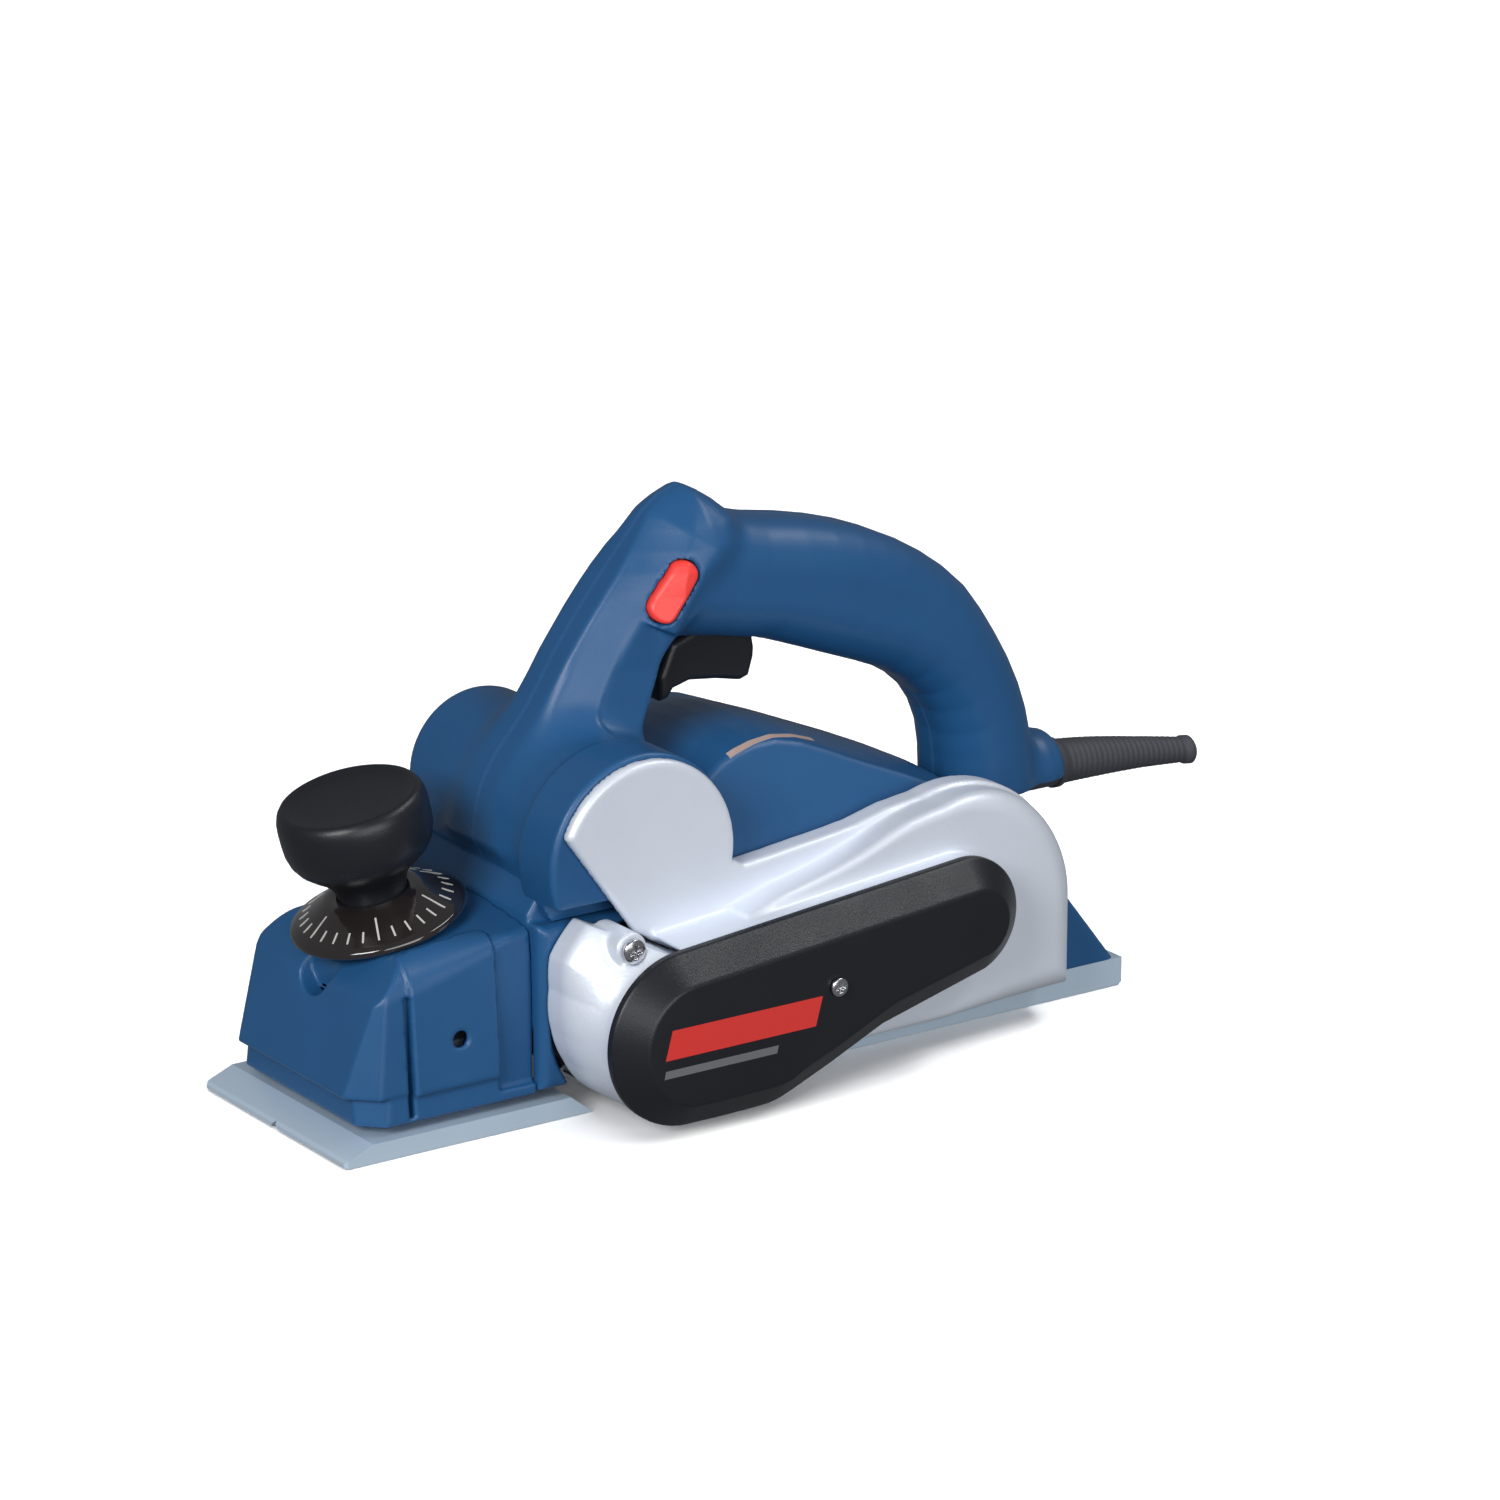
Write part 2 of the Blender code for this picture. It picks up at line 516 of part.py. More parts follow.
def make_drum_housing():
    """Silver casting that carries the near drum bearing and swells out to the belt cover."""
    levels = [(PLATE_IN, 0.0), (-50.0, 0.08), (-57.0, 0.35), (-63.0, 0.8), (BOSS_OUT, 1.0)]
    housing = add_object("drum_housing", loft([drum_housing_ring(y, mix) for y, mix in levels]), SILVER)
    x, z = HOUSING_SCREW
    weld(housing, disc_y(x, z, 4.6, -62.0, -48.0, 16))
    cut(housing, disc_y(x, z, 4.2, -80.0, -62.0, 16))
    cut(housing, disc_y(x, z, 2.2, -70.0, -46.0, 12))
    cut(housing, disc_y(DRUM_X, DRUM_Z, 13.3, -50.5, -30.0, 28))
    cut(housing, disc_y(DRUM_X, DRUM_Z, 7.4, -90.0, -30.0, 20))
    return smooth(housing, 24.0)


def make_belt_cover():
    """Black cover over the pulleys, hollow and open towards the castings."""
    levels = [(COVER_IN, 0.0), (-73.0, 0.0), (-76.4, 2.4), (COVER_OUT, 6.0)]
    cover = add_object("belt_cover", loft([at_y(inset(belt_outline(), amount), y) for y, amount in levels]),
                       BLACK)
    inner = [(-60.0, 2.4), (-74.0, 2.4), (-75.8, 5.0)]
    cut(cover, loft([at_y(inset(belt_outline(), amount), y) for y, amount in inner]))
    cut(cover, disc_y(*COVER_SCREW, 2.2, -90.0, -70.0, 12))
    return smooth(cover, 28.0)


def make_far_cover():
    """Blue end cover on the side away from the belt: both far bearings and the air slots."""
    outline = arc(DRUM_X, 34.0, 27.0, 262.0, 96.0, 15) + arc(62.0, 46.5, 36.0, 98.0, -92.0, 17)
    cover = add_object("far_cover", loft([at_y(outline, FAR_IN), at_y(outline, 45.5),
                                          at_y(inset(outline, 3.0), FAR_OUT)]), BLUE)
    for x, z, seat in ((DRUM_X, DRUM_Z, 13.3), (MOTOR_X, MOTOR_Z, 11.3)):
        cut(cover, disc_y(x, z, seat, 30.0, 46.2, 28))
    for x in AIR_SLOTS:
        cut(cover, block((x, 30.0, MOTOR_Z - 14.0), (x + 2.8, 60.0, MOTOR_Z + 14.0)))
    for x, z in FAR_SCREWS:
        cut(cover, disc_y(x, z, 2.2, 30.0, 60.0, 12))
    return smooth(cover, 28.0)


# ---- cutter drum and drive ----------------------------------------------------------------------
def radial_box(angle, r0, r1, t0, t1, y0, y1):
    """Box set in the drum: r runs outwards, t runs round, angle is measured from +X."""
    c, s = math.cos(math.radians(angle)), math.sin(math.radians(angle))
    corners = [(r0, t0), (r1, t0), (r1, t1), (r0, t1)]
    outline = [(DRUM_X + r * c - t * s, DRUM_Z + r * s + t * c) for r, t in corners]
    return prism(outline, y0, y1)


def make_cutter_drum():
    origin = (DRUM_X, 0.0, DRUM_Z)
    profile = [(6.0, -74.6), (6.0, -40.4), (DRUM_RADIUS, -DRUM_HALF), (DRUM_RADIUS, DRUM_HALF),
               (6.0, 40.4), (6.0, 45.6)]
    drum = add_object("cutter_drum", turned(profile, origin, (0, 1, 0), 36), STEEL, origin)
    for letter, angle in (("a", 35.0), ("b", 215.0)):
        cut(drum, radial_box(angle, 16.0, 34.0, -3.6, 3.6, -45.0, 45.0))
        add_object("blade_" + letter, radial_box(angle, 16.6, CUT_RADIUS, -3.2, -2.0, -38.6, 38.6),
                   STEEL, origin)
        clamp = add_object("blade_clamp_" + letter, radial_box(angle, 16.6, 25.4, -1.6, 3.2, -38.6, 38.6),
                           STEEL, origin)
        outward = Vector((math.cos(math.radians(angle)), 0.0, math.sin(math.radians(angle))))
        tangent = Vector((-outward.z, 0.0, outward.x))
        for number, y in (("1", -24.0), ("2", 24.0)):
            seat = Vector((DRUM_X, y, DRUM_Z)) + tangent * 0.8 + outward * 18.5
            cut(clamp, turned([(1.9, 0.0), (1.9, 12.0)], seat, outward, 12))
            add_object("clamp_screw_%s%s" % (letter, number),
                       turned([(1.5, 0.4), (1.5, 6.4)], seat, outward, 10), STEEL, origin)
    return smooth(drum)


def make_drive():
    """Pulleys, belt and the motor that turns them."""
    drum_at, motor_at = (DRUM_X, 0.0, DRUM_Z), (MOTOR_X, 0.0, MOTOR_Z)
    for name, at, radius, bore in (("drum_pulley", drum_at, DRUM_PULLEY_R, 6.3),
                                   ("motor_pulley", motor_at, MOTOR_PULLEY_R, 5.2)):
        profile = [(bore, PULLEY_OUT), (radius + 1.2, PULLEY_OUT), (radius + 1.2, PULLEY_OUT + 0.7),
                   (radius, PULLEY_OUT + 1.0), (radius, PULLEY_IN - 1.0), (radius + 1.2, PULLEY_IN - 0.7),
                   (radius + 1.2, PULLEY_IN), (bore, PULLEY_IN)]
        smooth(add_object(name, turned(profile, at, (0, 1, 0), 24, True), STEEL, at))
    rings = []
    for extra, y in ((GAP, -73.8), (GAP, -70.0), (GAP + BELT_THICK, -70.0), (GAP + BELT_THICK, -73.8)):
        outline = arc(DRUM_X, DRUM_Z, DRUM_PULLEY_R + extra, 276.0, 97.0, 16)
        outline += arc(MOTOR_X, MOTOR_Z, MOTOR_PULLEY_R + extra, 97.0, -74.0, 12)
        rings.append(at_y(outline, y))
    smooth(add_object("drive_belt", loft(rings, closed=True), RUBBER))
    shaft = [(4.9, -74.6), (4.9, 45.4)]
    smooth(add_object("motor_shaft", turned(shaft, motor_at, (0, 1, 0), 16), STEEL, motor_at))
    parts = [("armature_core", [(5.2, -19.0), (18.4, -19.0), (18.4, 19.0), (5.2, 19.0)], 24, COPPER),
             ("commutator", [(5.2, 22.0), (11.0, 22.0), (11.0, 33.0), (5.2, 33.0)], 24, COPPER)]
    for name, profile, steps, finish in parts:
        smooth(add_object(name, turned(profile, motor_at, (0, 1, 0), steps, True), finish, motor_at))
    make_fan(motor_at)
    rings = [("stator_core", motor_at, 31.8, 19.2, -20.0, 20.0, 32),
             ("motor_bearing_near", motor_at, 13.0, 5.2, -48.0, -42.0, 24),
             ("motor_bearing_far", motor_at, 11.0, 5.2, 39.5, 45.8, 24),
             ("drum_bearing_near", drum_at, 13.0, 6.3, -50.0, -42.0, 24),
             ("drum_bearing_far", drum_at, 13.0, 6.3, 41.0, 45.8, 24)]
    for name, at, outer, inner, y0, y1, steps in rings:
        finish = COPPER if name == "stator_core" else STEEL
        smooth(add_object(name, tube_y(at[0], at[2], outer, inner, y0, y1, steps), finish))


def make_fan(motor_at):
    """Cooling fan: a hub and disc with straight blades welded on."""
    profile = [(5.2, -30.0), (FAN_RADIUS, -30.0), (FAN_RADIUS, -28.6), (9.0, -28.6), (9.0, -22.5),
               (5.2, -22.5)]
    fan = add_object("cooling_fan", turned(profile, motor_at, (0, 1, 0), 24, True), BLACK, motor_at)
    for i in range(8):
        angle = math.tau * (i + 0.5) / 8
        c, s = math.cos(angle), math.sin(angle)
        corners = [(11.0, -0.8), (FAN_RADIUS - 1.0, -0.8), (FAN_RADIUS - 1.0, 0.8), (11.0, 0.8)]
        outline = [(motor_at[0] + r * c - t * s, motor_at[2] + r * s + t * c) for r, t in corners]
        weld(fan, prism(outline, -29.2, -23.4))
    return fan


def make_brushes():
    for name, side in (("front", -1.0), ("rear", 1.0)):
        near, far = sorted((MOTOR_X + side * 11.4, MOTOR_X + side * 22.0))
        brush = block((near, 25.0, MOTOR_Z - 2.5), (far, 30.0, MOTOR_Z + 2.5))
        add_object("carbon_brush_" + name, brush, CARBON)
        near, far = sorted((MOTOR_X + side * 13.0, MOTOR_X + side * 27.0))
        holder = add_object("brush_holder_" + name,
                            block((near, 23.4, MOTOR_Z - 4.2), (far, 31.6, MOTOR_Z + 4.2)), BRASS)
        low, high = sorted((MOTOR_X + side * 10.0, MOTOR_X + side * 25.5))
        cut(holder, block((low, 24.7, MOTOR_Z - 2.8), (high, 30.3, MOTOR_Z + 2.8)))


# ---- handle parts ------------------------------------------------------------------------------
def stadium(centre, half_width, half_length, y0, y1, steps=9):
    """Slot shape along Y, leaning back by the slope of the front post."""
    lean = math.radians(30.0)
    up = Vector((math.sin(lean), math.cos(lean)))
    side = Vector((math.cos(lean), -math.sin(lean)))
    straight = half_length - half_width
    outline = []
    for end, start in ((1.0, 0.0), (-1.0, math.pi)):
        for i in range(steps):
            angle = start + math.pi * i / (steps - 1)
            point = side * math.cos(angle) * half_width
            point += up * (math.sin(angle) * half_width + end * straight)
            outline.append((centre.x + point.x, centre.z + point.y))
    return prism(outline, y0, y1)


def make_controls():
    """Trigger, its switch, and the sprung lock button in the near handle half."""
    outline = [(-9.0, 110.2), (-4.5, 112.4), (2.0, 115.0), (12.0, 114.0), (20.5, 112.0), (24.0, 117.0),
               (25.6, 121.0), (24.6, 127.6), (4.0, 131.5), (-5.0, 128.0), (-9.4, 118.0)]
    add_object("trigger", prism(outline, -7.0, 7.0), BLACK, TRIGGER_PIVOT)
    add_object("switch_body", block((0.0, -10.5, 137.0), (30.0, 10.5, 149.0)), BLACK)
    button = stadium(BUTTON_CENTRE, 5.4, 9.2, -21.0, -12.0)
    smooth(add_object("lock_button", button, RED, BUTTON_CENTRE))


def make_cord_parts():
    """Tapered rubber sleeve where the cord leaves the handle, and the clamp behind it."""
    reach = SLEEVE_TIP.x - CORD_EXIT.x
    outer = [(-11.5, 8.7), (-9.0, 8.7), (-8.6, 7.5), (12.0, 7.5), (28.0, 6.6), (46.0, 5.2), (reach, 4.1)]
    lead_bore = [(along, LEAD_RADIUS) for along, radius in reversed(outer)]
    rings = []
    for along, radius in outer + lead_bore:
        droop = (SLEEVE_TIP.z - CORD_EXIT.z) * (max(0.0, along - 12.0) / (reach - 12.0)) ** 1.5
        rings.append(circle(CORD_EXIT + Vector((along, 0.0, droop)), (1, 0, 0), radius, 16))
    smooth(add_object("cord_sleeve", loft(rings, closed=True), RUBBER))
    add_object("cord_clamp", block((106.0, -9.0, 66.0), (116.0, 9.0, 70.0)), BLACK)


def make_screws():
    for number, (x, y) in enumerate(SOLE_SCREWS, 1):
        profile = [(4.6, 0.8), (4.6, 2.0), (2.2, 4.2), (2.2, 15.0)]
        smooth(add_object("sole_screw_%d" % number, turned(profile, (x, y, 0.0), (0, 0, 1), 14), STEEL))
    for number, (x, z) in enumerate(FAR_SCREWS, 1):
        screw("far_cover_screw_%d" % number, (x, FAR_OUT + GAP, z), (0, 1, 0), 4.0, 2.0, 1.7, 14.0)
    for number, (x, z) in enumerate(HANDLE_SCREWS, 1):
        screw("handle_screw_%d" % number, (x, 9.3, z), (0, 1, 0), 3.1, 2.2, 1.5, 18.0, steps=12)
    x, z = HOUSING_SCREW
    screw("drum_housing_screw", (x, -62.3, z), (0, -1, 0), 3.8, 2.2, 1.9, 14.0)
    x, z = PLATE_SCREW
    screw("side_plate_screw", (x, BOSS_OUT + 4.0 - GAP, z), (0, -1, 0), 3.8, 2.2, 1.9, 20.0)
    x, z = COVER_SCREW
    screw("cover_screw", (x, COVER_OUT - GAP, z), (0, -1, 0), 3.6, 1.8, 1.6, 13.0)


def main():
    clear_scene()
    make_front_shoe()
    make_rear_sole()
    make_front_housing()
    make_depth_parts()
    make_spindle_nut()
    make_motor_housing()
    make_chip_barrel()
    make_handle_halves()
    make_side_plate()
    make_drum_housing()
    make_belt_cover()
    make_far_cover()
    make_cutter_drum()
    make_drive()
    make_brushes()
    make_controls()
    make_cord_parts()
    make_screws()


main()
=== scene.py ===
"""Looks of the electric hand planer: moulded blue shells, cast silver side, black belt cover.

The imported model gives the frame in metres. Shapes here are worked out in millimetres as distance
fields, where a value below zero is inside the material, and skinned into meshes. +X runs to the
rear, -Y is the belt side, +Z is up and Z = 0 is the sole.
"""
import json
import math

import bmesh
import bpy
import numpy as np
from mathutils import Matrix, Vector


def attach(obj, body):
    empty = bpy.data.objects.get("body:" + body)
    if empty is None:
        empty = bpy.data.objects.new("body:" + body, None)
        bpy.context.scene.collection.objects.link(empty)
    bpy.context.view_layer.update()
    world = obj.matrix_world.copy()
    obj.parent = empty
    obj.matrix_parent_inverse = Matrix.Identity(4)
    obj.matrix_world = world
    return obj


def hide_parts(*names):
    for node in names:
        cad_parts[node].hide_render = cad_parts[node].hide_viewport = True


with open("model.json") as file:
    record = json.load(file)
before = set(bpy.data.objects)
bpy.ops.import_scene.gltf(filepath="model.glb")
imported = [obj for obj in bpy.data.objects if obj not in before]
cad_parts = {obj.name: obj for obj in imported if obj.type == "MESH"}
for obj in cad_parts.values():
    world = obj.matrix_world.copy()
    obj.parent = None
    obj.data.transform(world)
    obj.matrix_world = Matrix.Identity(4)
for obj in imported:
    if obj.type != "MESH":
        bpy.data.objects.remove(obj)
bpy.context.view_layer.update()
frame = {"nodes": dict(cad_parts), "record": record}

MM = 0.001

# ---- places and outlines in mm, most of them shared with the CAD -------------------------------
DRUM = (-42.0, 28.3)
MOTOR = (60.0, 46.5)
BARREL = (-42.0, 78.0)
KNOB_TILT = math.radians(14.0)
KNOB_BASE = (-105.0, 0.0, 59.0)
KNOB_AXIS = (-math.sin(KNOB_TILT), 0.0, math.cos(KNOB_TILT))
BUTTON = (-11.0, 147.6)
BUTTON_LEAN = 37.0
HANDLE_SCREWS = [(-24.0, 134.0), (46.0, 138.0), (112.0, 86.0)]
FAR_SCREWS = [(-20.0, 50.0), (-9.0, 17.0), (62.0, 15.5)]
HOUSING_SCREW = (-56.5, 56.5)
PLATE_SCREW = (28.0, 38.0)
COVER_SCREW = (6.0, 37.5)
CHIP_BORE = (-43.0, 84.0)         # middle of the barrel's channel
THROAT_X = (-60.5, -48.0)         # front and back of the chip throat under the barrel
THROAT_Y = 28.0                   # half of the throat's width
BLOCK_HOLE = (-101.0, 31.0)       # small round hole in the block's side panel
AIR_SLOTS = [31.0, 36.5, 42.0, 75.0, 80.5, 86.0]
CORD_X, CORD_Z = 132.0, 62.5
SLEEVE_TIP_Z = 57.0
SEAM = 0.12                       # half of the parting line between the two handle halves
WALL = 3.2                        # handle shell
SILL_Z = 61.1                     # level cut under the barrel
COVER_FACE = -78.0

POST_OUTLINE = [(-70.0, 78.0), (-66.0, 92.0), (-60.0, 103.0), (-52.0, 116.0), (-43.0, 130.0),
                (-34.5, 141.5), (-28.0, 149.5), (-20.0, 158.8), (-11.5, 168.0), (-5.0, 172.8),
                (1.5, 174.8), (5.2, 172.5), (8.6, 169.4), (11.0, 165.5), (8.0, 160.0),
                (2.0, 155.0), (-3.0, 149.0), (-8.5, 139.5), (-12.5, 130.0), (-16.5, 120.0),
                (-20.5, 111.0), (-26.0, 101.0), (-32.0, 90.0), (-35.0, 78.0)]
GRIP_OUTLINE = [(-10.0, 150.0), (-6.0, 166.0), (3.0, 171.2), (10.0, 168.2), (17.0, 165.3),
                (27.0, 162.6), (41.0, 160.2), (52.0, 157.7), (62.0, 154.8), (71.0, 151.4),
                (79.5, 147.5), (88.0, 142.6), (96.0, 137.0), (104.0, 129.8), (110.0, 122.0),
                (115.5, 113.6), (120.5, 105.0), (124.5, 96.5), (127.5, 88.0), (129.8, 78.0),
                (131.3, 68.0), (131.6, 58.0), (129.5, 49.0), (124.0, 42.0), (114.0, 38.0),
                (102.0, 40.0), (98.0, 50.0), (98.3, 62.0), (97.8, 74.0), (96.5, 82.0), (93.5, 89.5),
                (89.0, 96.0), (82.5, 101.7), (74.0, 106.8), (64.0, 110.9), (53.6, 114.8),
                (44.0, 118.4), (35.0, 121.7), (29.0, 123.8), (20.0, 125.3), (8.0, 127.5),
                (-4.0, 129.5), (-12.0, 130.0), (-14.0, 140.0)]
RECESS_OUTLINE = [(-22.5, 139.5), (-28.5, 130.5), (-35.0, 119.5), (-41.0, 108.5), (-46.0, 98.0),
                  (-38.0, 94.0), (-20.0, 100.0), (-10.0, 113.0), (-6.0, 125.0), (-9.0, 134.0)]
TRIGGER_OUTLINE = [(-9.0, 110.2), (-6.0, 111.0), (-4.0, 113.6), (2.0, 115.2), (12.0, 114.0),
                   (20.5, 112.2), (23.6, 113.2), (25.4, 119.0), (25.6, 122.0), (24.6, 127.6),
                   (4.0, 131.5), (-5.0, 128.0), (-9.4, 118.0)]
HOUSING_OUTLINE = [(-74.7, 9.5), (-74.7, 60.7), (-15.5, 60.7), (-15.5, 86.0), (-13.0, 91.5),
                   (-9.0, 95.0), (-3.0, 98.0), (4.0, 100.2), (11.0, 101.3), (19.0, 101.4),
                   (28.0, 99.4), (38.0, 95.6), (50.0, 90.6), (62.0, 85.6), (74.0, 80.2),
                   (86.0, 74.2), (97.0, 67.0), (104.0, 59.5), (110.0, 51.5), (117.0, 42.0),
                   (141.5, 10.5), (141.5, 9.5)]
RAMP_OUTLINE = [(-74.7, 58.0), (-74.7, 62.6), (-69.5, 70.3), (-66.5, 71.3), (-58.0, 71.3),
                (-58.0, 58.0)]
RED_STRIPE = [(-55.5, 26.6), (-2.0, 26.6), (0.5, 35.6), (-53.0, 35.6)]
GREY_STRIPE = [(-56.0, 21.0), (-16.0, 21.0), (-15.4, 23.4), (-55.4, 23.4)]


# ---- distance fields ---------------------------------------------------------------------------
def outline_distance(x, z, points):
    """Signed distance in the XZ plane to a closed outline, negative inside."""
    nearest = np.inf
    odd = False
    for (ax, az), (bx, bz) in zip(points, points[1:] + points[:1]):
        ex, ez = bx - ax, bz - az
        wx, wz = x - ax, z - az
        along = np.clip((wx * ex + wz * ez) / (ex * ex + ez * ez), 0.0, 1.0)
        nearest = np.minimum(nearest, (wx - along * ex) ** 2 + (wz - along * ez) ** 2)
        straddles = (az > z) != (bz > z)
        left = wx < wz * ex / (ez if abs(ez) > 1e-9 else 1e-9)
        odd = odd ^ (straddles & left)
    return np.where(odd, -1.0, 1.0) * np.sqrt(nearest)


def smooth_min(a, b, k):
    """Union of two fields with a fillet of about k in the inside corner."""
    mix = np.clip(0.5 + 0.5 * (b - a) / k, 0.0, 1.0)
    return b + (a - b) * mix - k * mix * (1.0 - mix)


def rounded(a, b, r):
    """Overlap of two fields, with the outside corner rounded to radius r."""
    a, b = a + r, b + r
    return np.minimum(np.maximum(a, b), 0.0) + np.hypot(np.maximum(a, 0.0), np.maximum(b, 0.0)) - r


def carve(a, b, r=0.0):
    """a with b taken away, the new edge rounded to radius r."""
    return rounded(a, -b, r) if r else np.maximum(a, -b)


def slab(flat, y, y0, y1, r):
    """A field of the XZ plane given thickness from y0 to y1, with rounded rims."""
    return rounded(flat, np.abs(y - (y0 + y1) / 2.0) - (y1 - y0) / 2.0, r)


def rod_y(x, y, z, centre, radius, y0, y1, r=0.0):
    """Round bar across the machine, from y0 to y1, about an (x, z) centre."""
    return slab(np.hypot(x - centre[0], z - centre[1]) - radius, y, y0, y1, r)


def box_field(x, y, z, low, high, r=0.0):
    """Box between two corners, with its edges rounded to radius r."""
    flat = rounded(np.abs(x - (low[0] + high[0]) / 2.0) - (high[0] - low[0]) / 2.0,
                   np.abs(z - (low[2] + high[2]) / 2.0) - (high[2] - low[2]) / 2.0, r)
    return rounded(flat, np.abs(y - (low[1] + high[1]) / 2.0) - (high[1] - low[1]) / 2.0, r)


def round_axis(x, y, z, base, axis):
    """(radius, height) of points about an axis through base."""
    px, py, pz = x - base[0], y - base[1], z - base[2]
    height = px * axis[0] + py * axis[1] + pz * axis[2]
    radius = np.sqrt(np.maximum(px * px + py * py + pz * pz - height * height, 0.0))
    return radius, height


def stadium_field(x, z, centre, half_width, half_length):
    """Distance to a round-ended slot whose long axis leans back by BUTTON_LEAN degrees."""
    c, s = math.cos(math.radians(BUTTON_LEAN)), math.sin(math.radians(BUTTON_LEAN))
    dx, dz = x - centre[0], z - centre[1]
    along = np.abs(dx * s + dz * c) - (half_length - half_width)
    across = dx * c - dz * s
    return np.hypot(np.maximum(along, 0.0), across) - half_width


# ---- skinning ----------------------------------------------------------------------------------
def skin(field, low, high, pitch):
    """Vertices and quads of the zero surface of a field inside a box."""
    axes = [np.arange(lo - 1.5 * pitch, hi + 2.5 * pitch, pitch) for lo, hi in zip(low, high)]
    gx, gy, gz = axes[0][:, None, None], axes[1][None, :, None], axes[2][None, None, :]
    shape = tuple(len(axis) for axis in axes)
    value = np.ascontiguousarray(np.broadcast_to(field(gx, gy, gz), shape))
    inside = value < 0.0
    steps = [(i, j, k) for i in (0, 1) for j in (0, 1) for k in (0, 1)]

    def corner(array, step):
        return array[tuple(slice(s, n - 1 + s) for s, n in zip(step, shape))]

    count = sum(corner(inside, step).astype(np.int8) for step in steps)
    active = (count > 0) & (count < 8)
    cells = np.argwhere(active)
    index = np.full(active.shape, -1, np.int64)
    index[active] = np.arange(len(cells))
    total = np.zeros((len(cells), 3))
    hits = np.zeros(len(cells))
    for a in steps:
        for axis in range(3):
            if a[axis]:
                continue
            b = tuple(v + (n == axis) for n, v in enumerate(a))
            va = value[tuple((cells + a).T)]
            vb = value[tuple((cells + b).T)]
            crossing = (va < 0.0) != (vb < 0.0)
            t = np.where(crossing, va / np.where(crossing, va - vb, 1.0), 0.0)
            point = np.tile(np.array(a, float), (len(cells), 1))
            point[:, axis] += t
            total[crossing] += point[crossing]
            hits[crossing] += 1.0
    origin = np.array([axis[0] for axis in axes])
    verts = origin + (cells + total / hits[:, None]) * pitch
    quads = []
    for axis in range(3):
        other = [n for n in range(3) if n != axis]
        inner = [slice(None)] * 3
        first, second = list(inner), list(inner)
        first[axis], second[axis] = slice(0, -1), slice(1, None)
        for n in other:
            first[n] = second[n] = slice(1, -1)
        lower, upper = inside[tuple(first)], inside[tuple(second)]
        places = np.argwhere(lower != upper)
        places[:, other[0]] += 1
        places[:, other[1]] += 1
        ring = []
        for d0, d1 in ((-1, -1), (0, -1), (0, 0), (-1, 0)):
            cell = places.copy()
            cell[:, other[0]] += d0
            cell[:, other[1]] += d1
            ring.append(index[tuple(cell.T)])
        ring = np.stack(ring, 1)
        flip = inside[tuple(places.T)] ^ (axis == 1)
        ring[~flip] = ring[~flip][:, ::-1]
        quads.append(ring)
    settle(field, verts, pitch)
    return verts, np.concatenate(quads)


def settle(field, verts, pitch, passes=3):
    """Slide the vertices onto the exact surface along the field's slope."""
    eps = 0.02
    for _ in range(passes):
        x, y, z = verts.T
        here = field(x, y, z)
        slope = np.stack([field(x + eps, y, z) - field(x - eps, y, z),
                          field(x, y + eps, z) - field(x, y - eps, z),
                          field(x, y, z + eps) - field(x, y, z - eps)], 1) / (2.0 * eps)
        size = np.maximum((slope ** 2).sum(1), 0.2)
        move = -(here / size)[:, None] * slope
        far = np.maximum(np.linalg.norm(move, axis=1) / (0.6 * pitch), 1.0)
        verts += move / far[:, None]


def link(obj):
    """Put an object in the scene."""
    bpy.context.scene.collection.objects.link(obj)
    return obj


def mesh_object(name, verts, faces):
    """Object from points in mm and either an array of quads or a list of faces."""
    mesh = bpy.data.meshes.new(name)
    if isinstance(faces, np.ndarray):
        mesh.vertices.add(len(verts))
        mesh.vertices.foreach_set("co", (np.asarray(verts) * MM).ravel())
        mesh.loops.add(faces.size)
        mesh.loops.foreach_set("vertex_index", faces.ravel().astype(np.int32))
        mesh.polygons.add(len(faces))
        mesh.polygons.foreach_set("loop_start", np.arange(0, faces.size, 4, dtype=np.int32))
        mesh.update(calc_edges=True)
        mesh.validate()
    else:
        mesh.from_pydata([Vector(v) * MM for v in verts], [], faces)
    return link(bpy.data.objects.new(name, mesh))


def dress(obj, body, slot, look, *nodes, sharp=None):
    """Give a piece its body and material and hide the CAD nodes it stands for; the record slot is
    not used.
    """
    obj.data.materials.clear()
    obj.data.materials.append(look)
    obj.data.shade_smooth()
    if sharp:
        obj.data.set_sharp_from_angle(angle=math.radians(sharp))
    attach(obj, body)
    if nodes:
        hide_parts(*nodes)


def moulded(name, field, low, high, pitch, body, slot, look, *nodes):
    """A dressed piece skinned from its field."""
    obj = mesh_object(name, *skin(field, low, high, pitch))
    dress(obj, body, slot, look, *nodes)


def lathe(name, profile, base, axis, steps):
    """A closed solid turned from (radius, height) points; a radius of zero makes a pole."""
    axis = Vector(axis).normalized()
    side = axis.orthogonal().normalized()
    other = axis.cross(side)
    verts, rows = [], []
    for r, h in profile:
        middle = Vector(base) + axis * h
        if r == 0.0:
            rows.append([len(verts)] * steps)
            verts.append(middle)
            continue
        rows.append(list(range(len(verts), len(verts) + steps)))
        for i in range(steps):
            a = math.tau * i / steps
            verts.append(middle + r * (math.cos(a) * side + math.sin(a) * other))
    faces = []
    ring_shaped = profile[0][0] and profile[-1][0]
    for lower, upper in zip(rows, rows[1:] + rows[:1] if ring_shaped else rows[1:]):
        for i in range(steps):
            j = (i + 1) % steps
            face = [lower[i], lower[j], upper[j], upper[i]]
            face = [v for n, v in enumerate(face) if v != face[n - 1]]
            if len(face) > 2:
                faces.append(face)
    obj = mesh_object(name, verts, faces)
    fix_normals(obj)
    return obj


